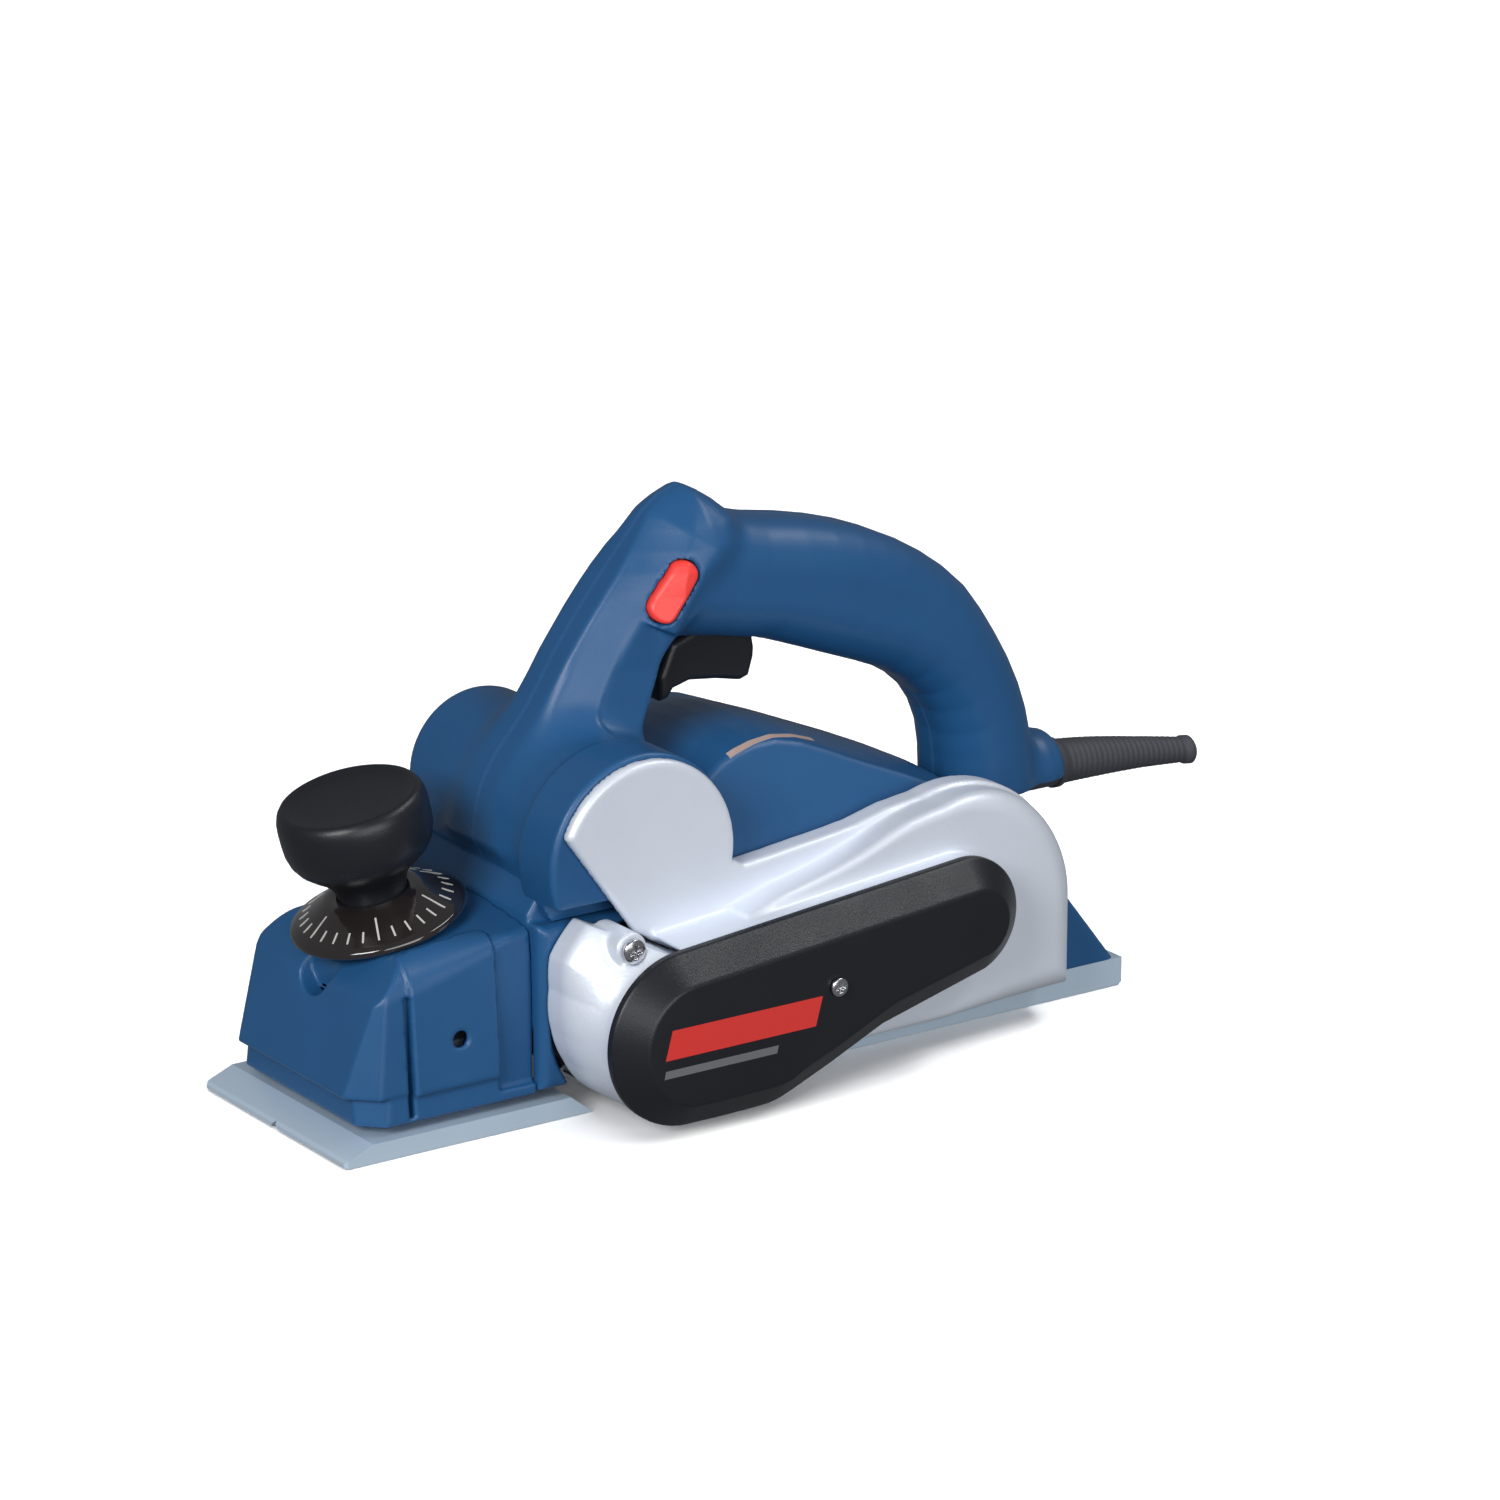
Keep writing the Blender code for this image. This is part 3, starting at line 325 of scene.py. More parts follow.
def loft_rings(name, rings, closed=False):
    """A solid through point rings of equal length; closed joins the last ring to the first."""
    verts = [p for ring in rings for p in ring]
    n = len(rings[0])
    faces = []
    for a in range(len(rings) if closed else len(rings) - 1):
        b = (a + 1) % len(rings)
        for i in range(n):
            j = (i + 1) % n
            faces.append((a * n + i, a * n + j, b * n + j, b * n + i))
    if not closed:
        faces.append(tuple(range(n)))
        faces.append(tuple(len(verts) - n + i for i in range(n)))
    obj = mesh_object(name, verts, faces)
    fix_normals(obj)
    return obj


def subtract(target, tool):
    """Cut one mesh out of another and drop the tool."""
    modifier = target.modifiers.new("cut", 'BOOLEAN')
    modifier.operation = 'DIFFERENCE'
    modifier.solver = 'EXACT'
    modifier.object = tool
    bpy.context.view_layer.update()
    evaluated = target.evaluated_get(bpy.context.evaluated_depsgraph_get())
    mesh = bpy.data.meshes.new_from_object(evaluated)
    target.modifiers.clear()
    target.data = mesh
    bpy.data.objects.remove(tool, do_unlink=True)


def fix_normals(obj):
    """Turn every face outwards."""
    bm = bmesh.new()
    bm.from_mesh(obj.data)
    bmesh.ops.recalc_face_normals(bm, faces=bm.faces)
    bm.to_mesh(obj.data)
    bm.free()


# ---- materials ---------------------------------------------------------------------------------
def node(tree, kind, **values):
    """New shader node with inputs or settings given by name."""
    made = tree.nodes.new(kind)
    for key, value in values.items():
        if key in made.inputs:
            made.inputs[key].default_value = value
        else:
            setattr(made, key, value)
    return made


def finish(name, colour, rough, metallic=0.0, grain=900.0, grain_depth=0.05, stain=0.12,
           rough_spread=0.08, edge_wear_and_highlight=0.25, coat=0.0, stretch=(1.0, 1.0, 1.0), specular=0.5):
    """Moulded plastic, paint or metal: fine grain, faint colour drift, smudges, and convex edges
    lightened partly as wear and partly as a painted edge highlight.
    """
    mat = bpy.data.materials.new(name)
    mat.use_nodes = True
    tree = mat.node_tree
    shader = tree.nodes["Principled BSDF"]
    shader.inputs["Metallic"].default_value = metallic
    shader.inputs["Coat Weight"].default_value = coat
    shader.inputs["Coat Roughness"].default_value = 0.08
    shader.inputs["Specular IOR Level"].default_value = specular
    where = node(tree, "ShaderNodeTexCoord")
    squeeze = node(tree, "ShaderNodeMapping")
    squeeze.inputs["Scale"].default_value = stretch
    tree.links.new(where.outputs["Object"], squeeze.inputs["Vector"])
    drift = node(tree, "ShaderNodeTexNoise", Scale=22.0, Detail=4.0, Roughness=0.6)
    tree.links.new(where.outputs["Object"], drift.inputs["Vector"])
    fine = node(tree, "ShaderNodeTexNoise", Scale=grain, Detail=3.0, Roughness=0.6)
    tree.links.new(squeeze.outputs["Vector"], fine.inputs["Vector"])
    # Pointiness lightens convex edges: partly worn edges, partly a painted highlight on rounded
    # edges.
    edges = node(tree, "ShaderNodeNewGeometry")
    edge_wear_highlight_mask = node(tree, "ShaderNodeMapRange")
    edge_wear_highlight_mask.inputs["From Min"].default_value = 0.53
    edge_wear_highlight_mask.inputs["From Max"].default_value = 0.64
    edge_wear_highlight_mask.inputs["To Max"].default_value = edge_wear_and_highlight
    tree.links.new(edges.outputs["Pointiness"], edge_wear_highlight_mask.inputs["Value"])
    tone = node(tree, "ShaderNodeMixRGB", blend_type='MIX')
    darker = tuple(c * (1.0 - stain) for c in colour)
    lighter = tuple(min(1.0, c * (1.0 + stain)) for c in colour)
    tone.inputs["Color1"].default_value = darker + (1.0,)
    tone.inputs["Color2"].default_value = lighter + (1.0,)
    tree.links.new(drift.outputs["Fac"], tone.inputs["Fac"])
    edge_wear_highlight_tint = node(tree, "ShaderNodeMixRGB", blend_type='MIX')
    edge_wear_highlight_tint.inputs["Color2"].default_value = tuple(min(1.0, c * 1.9 + 0.03) for c in colour) + (1.0,)
    tree.links.new(edge_wear_highlight_mask.outputs["Result"], edge_wear_highlight_tint.inputs["Fac"])
    tree.links.new(tone.outputs["Color"], edge_wear_highlight_tint.inputs["Color1"])
    tree.links.new(edge_wear_highlight_tint.outputs["Color"], shader.inputs["Base Color"])
    smudge = node(tree, "ShaderNodeTexNoise", Scale=60.0, Detail=5.0, Roughness=0.65)
    tree.links.new(where.outputs["Object"], smudge.inputs["Vector"])
    gloss = node(tree, "ShaderNodeMapRange")
    gloss.inputs["To Min"].default_value = max(0.03, rough - rough_spread)
    gloss.inputs["To Max"].default_value = rough + rough_spread
    tree.links.new(smudge.outputs["Fac"], gloss.inputs["Value"])
    tree.links.new(gloss.outputs["Result"], shader.inputs["Roughness"])
    bump = node(tree, "ShaderNodeBump", Strength=grain_depth, Distance=0.0006)
    tree.links.new(fine.outputs["Fac"], bump.inputs["Height"])
    tree.links.new(bump.outputs["Normal"], shader.inputs["Normal"])
    return mat


# The blue's edges are lightened strongly, painting highlights onto its rounded edges as well as
# wear.
BLUE = finish("blue_moulding", (0.015, 0.087, 0.225), 0.38, grain=1400.0, grain_depth=0.08,
              specular=0.45, edge_wear_and_highlight=0.45)
SILVER = finish("cast_silver", (0.73, 0.78, 0.87), 0.42, metallic=0.25, grain=700.0,
                grain_depth=0.12, stain=0.05, edge_wear_and_highlight=0.15)
SOLE_METAL = finish("milled_sole", (0.54, 0.70, 0.86), 0.32, metallic=0.35, grain=260.0,
                    grain_depth=0.10, stain=0.06, stretch=(1.0, 9.0, 9.0), edge_wear_and_highlight=0.2)
BLACK = finish("black_moulding", (0.011, 0.012, 0.016), 0.36, grain=1500.0, grain_depth=0.10,
               stain=0.2, edge_wear_and_highlight=0.06, specular=0.4)
GLOSS_BLACK = finish("polished_ring", (0.016, 0.012, 0.012), 0.08, coat=1.0, grain=400.0,
                     grain_depth=0.01, rough_spread=0.03, edge_wear_and_highlight=0.05)
RED = finish("signal_red", (0.88, 0.050, 0.040), 0.42, grain=1500.0, grain_depth=0.06, stain=0.06)
LABEL_RED = finish("stripe_red", (0.56, 0.026, 0.020), 0.34, grain=1800.0, grain_depth=0.03)
TICK_INK = finish("white_ink", (0.42, 0.42, 0.40), 0.5, grain=900.0, grain_depth=0.02)
GREY_INK = finish("grey_ink", (0.11, 0.11, 0.12), 0.5, grain=900.0, grain_depth=0.02)
TAN_INK = finish("tan_ink", (0.42, 0.31, 0.27), 0.45, grain=900.0, grain_depth=0.02)
STEEL = finish("bright_steel", (0.58, 0.59, 0.61), 0.24, metallic=1.0, grain=600.0,
               grain_depth=0.04, stain=0.05, edge_wear_and_highlight=0.1)
DRUM_METAL = finish("drum_aluminium", (0.52, 0.53, 0.55), 0.32, metallic=1.0, grain=300.0,
                    grain_depth=0.08, stain=0.05, stretch=(1.0, 8.0, 1.0))
COPPER = finish("copper_windings", (0.60, 0.27, 0.12), 0.35, metallic=1.0)
BRASS = finish("plain_brass", (0.65, 0.48, 0.20), 0.30, metallic=1.0)
RUBBER = finish("black_rubber", (0.050, 0.052, 0.064), 0.62, grain=1100.0, grain_depth=0.2,
                stain=0.2)
CARBON = finish("pressed_carbon", (0.03, 0.03, 0.03), 0.6)
SLOT_FINISH = {"blue_housing": BLUE, "cast_silver": SILVER, "sole_aluminium": SOLE_METAL,
               "drum_aluminium": DRUM_METAL, "black_plastic": BLACK, "gloss_black": GLOSS_BLACK,
               "red_plastic": RED, "steel": STEEL, "copper": COPPER, "brass": BRASS,
               "carbon": CARBON, "rubber": RUBBER}


# ---- blue shells -------------------------------------------------------------------------------
def post_width(x, z):
    """Half width of the front post: narrow at its front face, wide at its rear ridge."""
    front_face, widest = 9.2, 18.4
    behind = (x + 52.0) * 0.785 - (z - 116.0) * 0.619
    crown = np.interp(z, [146.0, 153.0, 159.0, 165.0, 170.0, 175.0],
                      [1.0, 0.97, 0.86, 0.66, 0.45, 0.22])
    slope = np.interp(z, [146.0, 159.0, 172.0], [0.60, 0.92, 1.20])
    return np.minimum(front_face + slope * np.maximum(behind, 0.0), widest) * crown


def handle_field(x, y, z):
    """Solid D-handle without its cut-outs: wedge-shaped post, oval grip and cord collar."""
    far_outside = 50.0
    side = (np.abs(y) - post_width(x, z)) * 0.89
    post = rounded(outline_distance(x, z, POST_OUTLINE), side, 2.4)
    recess_floor = np.interp(z, [98.0, 112.0, 125.0, 139.0], [18.0, 16.4, 15.0, 14.8])
    recess = np.maximum(outline_distance(x, z, RECESS_OUTLINE), y + recess_floor)
    post = carve(post, np.where(y < 0.0, recess, far_outside), 0.9)
    width = 17.2 + 1.3 * np.clip((x - 12.0) / 40.0, 0.0, 1.0) ** 0.8
    grip = rounded(outline_distance(x, z, GRIP_OUTLINE), np.abs(y) - width, 15.0)
    radius, along = round_axis(x, y, z, (CORD_X - 7.0, 0.0, CORD_Z), (1.0, 0.0, 0.0))
    taper = np.interp(along, [0.0, 11.0, 15.0, 18.5], [13.2, 13.0, 12.0, 9.8])
    collar = rounded(radius - taper, np.abs(along - 5.5) - 13.0, 2.6)
    return smooth_min(smooth_min(post, grip, 10.0), collar, 3.5)


def barrel_field(x, y, z):
    """Chip barrel: wide flange at the belt side, domed end with the chip port at the other."""
    centre_x = np.interp(y, [-26.0, 36.0], [BARREL[0], -43.5])
    centre_z = np.interp(y, [-46.0, -26.0, 0.0, 36.0], [BARREL[1], 79.8, 82.5, 85.0])
    radius = np.interp(y, [-46.0, -26.0, 0.0, 36.0], [29.8, 29.2, 27.2, 24.5])
    tube = rounded(np.hypot(x - centre_x, z - centre_z) - radius, np.abs(y - 3.5) - 43.5, 6.5)
    flange = rod_y(x, y, z, BARREL, 31.8, -46.2, -27.0, 1.6)
    return smooth_min(tube, flange, 0.8)


def crown_drop(x, y):
    """How far the hump's top falls away from its middle line."""
    return np.where(x > -18.0, 2.6 * np.minimum((y / 28.0) ** 2, 1.2), 0.0)


def housing_profile(x, y, z):
    """Side outline of the motor housing, which sinks towards its flanks."""
    return outline_distance(x, z + crown_drop(x, y), HOUSING_OUTLINE)


def shell_field(x, y, z):
    """Handle and barrel moulded as one, hollowed and cut out for the working parts."""
    handle = handle_field(x, y, z)
    barrel = barrel_field(x, y, z)
    sill = box_field(x, y, z, (-68.0, -27.0, 61.2), (-50.0, 31.0, 79.0), 2.0)
    solid = smooth_min(smooth_min(barrel, sill, 4.0), handle, 9.0)
    post_floor, grip_floor, grip_start = 104.0, 46.0, 20.0
    hollow = np.maximum(handle + WALL, np.where(x < grip_start, post_floor - z, grip_floor - z))
    for sx, sz in HANDLE_SCREWS:
        hollow = carve(hollow, np.hypot(x - sx, z - sz) - 4.6)
    solid = carve(solid, hollow)
    for sx, sz in HANDLE_SCREWS:
        solid = carve(solid, rod_y(x, y, z, (sx, sz), 3.4, 9.0, 40.0), 0.5)
        solid = carve(solid, rod_y(x, y, z, (sx, sz), 1.9, -11.0, 20.0))
    bore_r = np.interp(y, [-34.0, 30.0, 60.0], [22.5, 20.5, 14.0])
    bore = np.hypot(x - CHIP_BORE[0], z - CHIP_BORE[1]) - bore_r
    solid = carve(solid, np.maximum(bore, -34.0 - y), 1.6)
    throat = box_field(x, y, z, (THROAT_X[0], -THROAT_Y, 50.0), (THROAT_X[1], THROAT_Y, 76.0), 1.0)
    solid = carve(solid, throat)
    # The level cut reaches the rear too: it takes off the grip's foot and half the cord collar.
    solid = np.maximum(solid, SILL_Z - z)
    flange_foot, flange_back = 67.0, -38.0
    solid = np.maximum(solid, np.minimum(flange_foot - z, flange_back - y))
    hump = np.maximum(housing_profile(x, y, z) - 0.3, np.abs(y) - 34.0)
    solid = np.where(x > -20.0, np.maximum(solid, -hump), solid)
    trigger_slot = box_field(x, y, z, (-9.8, -7.6, 98.0), (27.3, 7.6, 136.0))
    solid = carve(solid, trigger_slot, 1.0)
    radius, along = round_axis(x, y, z, (CORD_X - 12.0, 0.0, CORD_Z), (1.0, 0.0, 0.0))
    solid = carve(solid, np.maximum(radius - 7.9, -along), 0.8)
    button_slot = np.maximum(stadium_field(x, z, BUTTON, 4.5, 10.6), y + 5.0)
    return carve(solid, button_slot, 0.7)


def make_shell():
    """Skin the handle and barrel once and split them at the parting line."""
    low, high = (-76.0, -47.0, 37.0), (144.5, 48.0, 175.5)
    verts, quads = skin(shell_field, low, high, 1.0)
    for name, side in (("handle_shell_near", -1.0), ("handle_shell_far", 1.0)):
        obj = mesh_object(name, verts, quads)
        bm = bmesh.new()
        bm.from_mesh(obj.data)
        cut = bmesh.ops.bisect_plane(bm, geom=bm.verts[:] + bm.edges[:] + bm.faces[:], dist=1e-6,
                                     plane_co=(0.0, side * SEAM * MM, 0.0),
                                     plane_no=(0.0, side, 0.0), clear_inner=True)
        rim = [e for e in cut["geom_cut"] if isinstance(e, bmesh.types.BMEdge)]
        bmesh.ops.triangle_fill(bm, edges=rim, use_beauty=True, use_dissolve=False)
        bmesh.ops.recalc_face_normals(bm, faces=bm.faces)
        bm.to_mesh(obj.data)
        bm.free()
        nodes = ("handle_near",) if side < 0.0 else ("handle_far", "chip_barrel")
        dress(obj, "root", "blue_housing", BLUE, *nodes, sharp=50.0)


def housing_field(x, y, z):
    """Motor housing: humped top, leaning near flank, drum tunnel, motor chamber, chip slot."""
    body = rounded(housing_profile(x, y, z), np.abs(y) - 40.9, 3.0)
    flank = -0.905 * (y + 27.6) + 0.425 * (z - 98.0)
    body = np.where(x > -20.0, rounded(body, flank, 1.4), body)
    ramp = rounded(outline_distance(x, z, RAMP_OUTLINE), np.abs(y + 1.0) - 33.0, 1.2)
    body = smooth_min(body, ramp, 1.2)
    body = np.maximum(body, -rod_y(x, y, z, DRUM, 30.0, -36.0, 50.0))
    body = np.maximum(body, -rod_y(x, y, z, DRUM, 29.0, -50.0, 0.0))
    body = np.maximum(body, -box_field(x, y, z, (-80.0, -36.0, 0.0), (-13.0, 50.0, DRUM[1])))
    body = np.maximum(body, -box_field(x, y, z, (-62.0, -50.0, 0.0), (-13.0, 0.0, DRUM[1])))
    body = np.maximum(body, -rod_y(x, y, z, MOTOR, 32.3, -21.0, 21.0))
    body = np.maximum(body, -rod_y(x, y, z, MOTOR, 29.8, -31.0, 50.0))
    body = np.maximum(body, -rod_y(x, y, z, MOTOR, 24.0, -50.0, 0.0))
    body = np.maximum(body, -box_field(x, y, z, (THROAT_X[0], -THROAT_Y, 40.0),
                                       (THROAT_X[1], THROAT_Y, 75.0)))
    for at in FAR_SCREWS:
        body = np.maximum(body, -rod_y(x, y, z, at, 2.0, 30.0, 50.0))
    return body


def block_field(x, y, z):
    """Front housing over the shoe: raked face, leaning sides, corner facets, skirt and recesses."""
    across = np.abs(y)
    side = (across - 38.6 + 0.078 * (z - 17.0)) * 0.997
    front = (0.3245 * (z - 17.8) - (x + 136.8)) * 0.951
    bevel = -0.70 * (x + 124.0) + 0.714 * (z - 49.0)
    top = (z + 3.2 * (across / 36.0) ** 2 - 57.8 - 0.10 * (x + 121.0)) * 0.985
    shoulder = np.interp(x, [-125.0, -112.0, -92.0, -82.0], [9.0, 8.0, 4.5, 2.2])
    facet = -0.700 * (x + 132.9) + 0.700 * (across - 34.3) + 0.14 * (z - 17.8)
    upper = rounded(rounded(side, front, 0.6), facet, 0.6)
    upper = rounded(rounded(upper, top, shoulder), bevel, 0.5)
    upper = rounded(upper, 17.4 - z, 0.6)
    skirt = rounded(rounded(side + 0.5, -(x + 133.6), 0.6), facet + 2.6, 0.6)
    skirt = np.maximum(skirt, z - 20.0)
    block = np.minimum(upper, skirt)
    block = np.maximum(rounded(block, 8.8 - z, 0.5), x + 75.0)
    panel = box_field(x, y, z, (-117.2, -50.0, 10.5), (-87.8, -28.0, 60.0), 0.3)
    panel = rounded(panel, np.maximum(upper - 1.1, -39.6 - y), 0.3)
    block = np.minimum(block, panel)
    block = carve(block, box_field(x, y, z, (-87.8, -60.0, 12.0), (-60.0, -36.4, 57.0), 1.5), 0.5)
    block = carve(block, box_field(x, y, z, (-118.9, -60.0, 10.0), (-117.0, -34.4, 46.5), 0.2), 0.2)
    block = carve(block, rod_y(x, y, z, BLOCK_HOLE, 2.6, -45.0, -30.0), 0.5)
    radius, height = round_axis(x, y, z, KNOB_BASE, KNOB_AXIS)
    block = carve(block, np.maximum(radius - 27.6, -0.4 - height), 0.5)
    block = np.maximum(block, -np.maximum(radius - 6.2, -30.0 - height))
    notch = np.maximum(np.hypot(y, z - 47.5) - 8.0, x + 123.5)
    block = carve(block, notch, 0.8)
    inner = np.maximum(np.maximum(across - 32.4, -(x + 130.4) + 0.35 * np.maximum(z - 20.0, 0.0)),
                       np.maximum(np.maximum(z - 44.0, x + 78.0), facet + 6.5))
    inner = np.minimum(inner, rod_y(x, y, z, BLOCK_HOLE, 5.5, -36.8, -20.0))
    return np.maximum(block, -inner)


def far_cover_field(x, y, z):
    """End cover on the far side: a bar that widens to the rear, air slots and screw holes."""
    front_z, front_r = 34.0, 27.0
    rear_x, rear_z, rear_r = 62.0, 45.0, 34.5
    run, climb = rear_x - DRUM[0], rear_z - front_z
    t = ((x - DRUM[0]) * run + (z - front_z) * climb) / (run ** 2 + climb ** 2)
    t = np.clip(t, 0.0, 1.0)
    bar = np.hypot(x - DRUM[0] - t * run, z - front_z - t * climb)
    bar = bar - (front_r + (rear_r - front_r) * t)
    rear = np.hypot(x - rear_x, z - rear_z) - rear_r
    cover = slab(np.minimum(rear, bar), y, 41.3, 48.0, 2.6)
    for x0 in AIR_SLOTS:
        low, high = (x0, 30.0, MOTOR[1] - 14.0), (x0 + 2.8, 60.0, MOTOR[1] + 14.0)
        cover = carve(cover, box_field(x, y, z, low, high, 1.3), 0.5)
    for at, seat in ((DRUM, 13.3), (MOTOR, 11.3)):
        cover = np.maximum(cover, -rod_y(x, y, z, at, seat, 30.0, 46.2))
    for at in FAR_SCREWS:
        cover = carve(cover, rod_y(x, y, z, at, 2.2, 30.0, 60.0), 0.3)
    return cover


# ---- cast side ---------------------------------------------------------------------------------
def arc(cx, cz, radius, start, end, count):
    """Points on a circle from one angle in degrees to another."""
    points = []
    for i in range(count):
        angle = math.radians(start + (end - start) * i / (count - 1))
        points.append((cx + radius * math.cos(angle), cz + radius * math.sin(angle)))
    return points


PLATE_OUTLINE = (arc(BARREL[0], BARREL[1], 30.5, 158.0, -10.0, 33)
                 + [(-8.0, 70.6), (2.0, 71.6), (12.0, 72.8), (23.0, 74.0), (33.0, 75.4),
                    (45.0, 78.4)]
                 + arc(70.0, 41.0, 41.0, 108.0, 0.0, 25)
                 + [(111.0, 9.6), (-4.2, 9.6), (-24.0, 44.0), (-46.6, 56.4)])
LOBE_OUTLINE = ([(-14.0, 58.5), (0.0, 63.0), (10.0, 65.2), (18.0, 67.2), (26.0, 69.6),
                 (33.0, 72.2), (39.0, 74.6), (45.0, 76.6), (51.0, 77.9)]
                + arc(70.0, 41.0, 39.8, 106.0, 0.0, 25) + [(109.8, 11.0), (-2.0, 11.0)])
BOSS_OUTLINE = (arc(MOTOR[0] - 1.0, MOTOR[1], 18.0, 97.0, -68.0, 25)
                + [(-2.6, 7.9), (-23.4, 44.3), (-40.5, 53.7), (-41.0, 55.0)])


def plate_field(x, y, z):
    """Side casting: barrel disc, rim, swollen rear lobe and the boss under the belt cover."""
    base = slab(outline_distance(x, z, PLATE_OUTLINE), y, -50.0, -41.3, 1.8)
    bend = np.interp(x, [30.0, 60.0, 85.0, 104.0], [2.2, 3.0, 7.5, 9.5])
    lobe = slab(outline_distance(x, z, LOBE_OUTLINE), y, -61.0, -39.0, bend)
    lobe = np.maximum(lobe, y + 45.0)
    boss = slab(outline_distance(x, z, BOSS_OUTLINE), y, -67.7, -45.0, 0.8)
    plate = smooth_min(smooth_min(base, lobe, 0.5), boss, 2.5)
    plate = np.maximum(plate, -(barrel_field(x, y, z) - 0.3))
    for at, bore, y0, y1 in ((MOTOR, 13.3, -49.0, -30.0), (MOTOR, 6.4, -90.0, -30.0),
                             (PLATE_SCREW, 4.2, -90.0, -63.7), (PLATE_SCREW, 2.2, -90.0, -30.0),
                             (COVER_SCREW, 1.9, -90.0, -62.0)):
        plate = np.maximum(plate, -rod_y(x, y, z, at, bore, y0, y1))
    return plate


def drum_housing_field(x, y, z):
    """Casting round the drum bearing: raked facet that swells out to the round belt boss."""
    belt_boss = 26.0
    dx, dz = x + 42.5, z - 29.0
    angle = np.degrees(np.arctan2(dz, dx)) % 360.0
    raked = np.interp(angle, [100.0, 114.0, 142.0, 156.0, 180.0, 201.0, 229.0, 268.0, 280.0],
                      [43.0, 40.5, 37.8, 33.0, 29.5, 27.5, 26.6, 25.0, 25.0])
    rise = np.clip((-y - 48.5) / 19.2, 0.0, 1.0)
    mix = rise * rise * (3.0 - 2.0 * rise)
    rim = (np.hypot(dx, dz) - (raked + (belt_boss - raked) * mix)) * 0.9
    sx, sz = x + 24.2, z - 43.7
    split = np.maximum(sx * 0.866 + sz * 0.5, sx * 0.43 + sz * 0.903)
    body = rounded(rounded(rim, split, 0.5), np.abs(y + 54.5) - 13.2, 0.9)
    body = np.where(x > DRUM[0], rounded(body, 5.0 - z, 0.6), body)
    boss = rod_y(x, y, z, HOUSING_SCREW, 5.3, -62.0, -46.0, 0.8)
    body = smooth_min(body, boss, 1.2)
    body = carve(body, rod_y(x, y, z, HOUSING_SCREW, 4.3, -80.0, -62.0), 0.3)
    for at, bore, y0, y1 in ((HOUSING_SCREW, 2.2, -70.0, -46.0), (DRUM, 13.3, -50.5, -30.0),
                             (DRUM, 7.4, -90.0, -30.0)):
        body = np.maximum(body, -rod_y(x, y, z, at, bore, y0, y1))
    return body


# ---- belt cover and printed marks --------------------------------------------------------------
def cover_outline(inset):
    """Egg-shaped outline of the belt cover, moved inwards by the given amount."""
    points = arc(DRUM[0] - 0.5, 29.0, 27.0 - inset, 268.0, 97.0, 49)
    points += arc(MOTOR[0] - 1.0, MOTOR[1], 19.0 - inset, 97.0, -68.0, 41)
    points += [(28.0, 19.0 + 1.1 * inset), (8.0, 10.2 + 1.1 * inset), (-6.0, 4.6 + 1.1 * inset),
               (-10.0, 3.2 + inset), (-14.0, 2.4 + inset), (-18.0, 2.2 + inset),
               (-30.0, 2.0 + inset)]
    return points


def make_crease_strip():
    """Thin plain strip lying on the hump's top beside its near crease."""
    tops = [p for p in HOUSING_OUTLINE if p[1] > 75.0]
    rows = []
    for t in np.linspace(0.0, 1.0, 24):
        x, y = 1.5 + 34.5 * t, -27.0 + 5.0 * t
        z = float(np.interp(x, *zip(*tops)) - crown_drop(x, y))
        rows.append([(x, y + dy, z + 0.17 * dy + dz) for dy, dz in ((-1.1, 0.12), (-1.1, -0.9),
                                                                    (1.1, -0.9), (1.1, 0.12))])
    dress(loft_rings("crease_strip", rows), "root", "red_plastic", TAN_INK, sharp=30.0)


def cover_rings(steps):
    """Rings of the cover's outline at (y, inset) steps."""
    return [[(x, y, z) for x, z in cover_outline(inset)] for y, inset in steps]


def make_belt_cover():
    """Hollow cover with a wide bevel round its face, a screw hole and two plain stripes."""
    cover = loft_rings("belt_guard", cover_rings([
        (-68.0, 0.3), (-68.3, 0.0), (-70.0, 0.0), (-70.5, 0.12), (-70.9, 0.5), (-71.4, 1.1),
        (-77.3, 7.6), (-77.7, 8.1), (-77.95, 8.6), (COVER_FACE, 9.2)]))
    hollow = loft_rings("hollow", cover_rings([(-60.0, 2.4), (-69.5, 2.4), (-75.8, 8.6)]))
    hole = lathe("hole", [(0.0, -90.0), (2.2, -90.0), (2.2, -60.0), (0.0, -60.0)],
                 (COVER_SCREW[0], 0.0, COVER_SCREW[1]), (0.0, 1.0, 0.0), 24)
    for tool in (hollow, hole):
        subtract(cover, tool)
    dress(cover, "root", "black_plastic", BLACK, "belt_cover", sharp=32.0)
    for name, mat, slot, outline in (("stripe_red", LABEL_RED, "red_plastic", RED_STRIPE),
                                     ("stripe_grey", GREY_INK, "black_plastic", GREY_STRIPE)):
        bar = loft_rings(name, [[(x, y, z) for x, z in outline]
                                for y in (COVER_FACE + 0.1, COVER_FACE - 0.12)])
        dress(bar, "root", slot, mat, sharp=30.0)


# ---- knob, ring, controls, sleeve, screws ------------------------------------------------------
def make_knob():
    """Depth knob: narrow neck swelling to a dished top, on a blind bore for the spindle."""
    profile = [(4.4, 4.6), (10.6, 4.6), (10.6, 9.6), (10.9, 11.4), (11.6, 13.2), (13.0, 15.2),
               (15.2, 17.4), (17.8, 19.4), (20.2, 21.6), (21.7, 24.0), (22.5, 26.8), (22.75, 30.0),
               (22.8, 34.0), (22.6, 36.6), (22.0, 38.6), (21.1, 39.9), (20.1, 40.4), (19.1, 40.2),
               (18.0, 39.5), (15.8, 39.1), (9.0, 38.8), (0.0, 38.7), (0.0, 30.0), (4.4, 30.0)]
    obj = lathe("depth_grip", profile, KNOB_BASE, KNOB_AXIS, 96)
    dress(obj, "knob", "black_plastic", BLACK, "depth_knob", sharp=50.0)


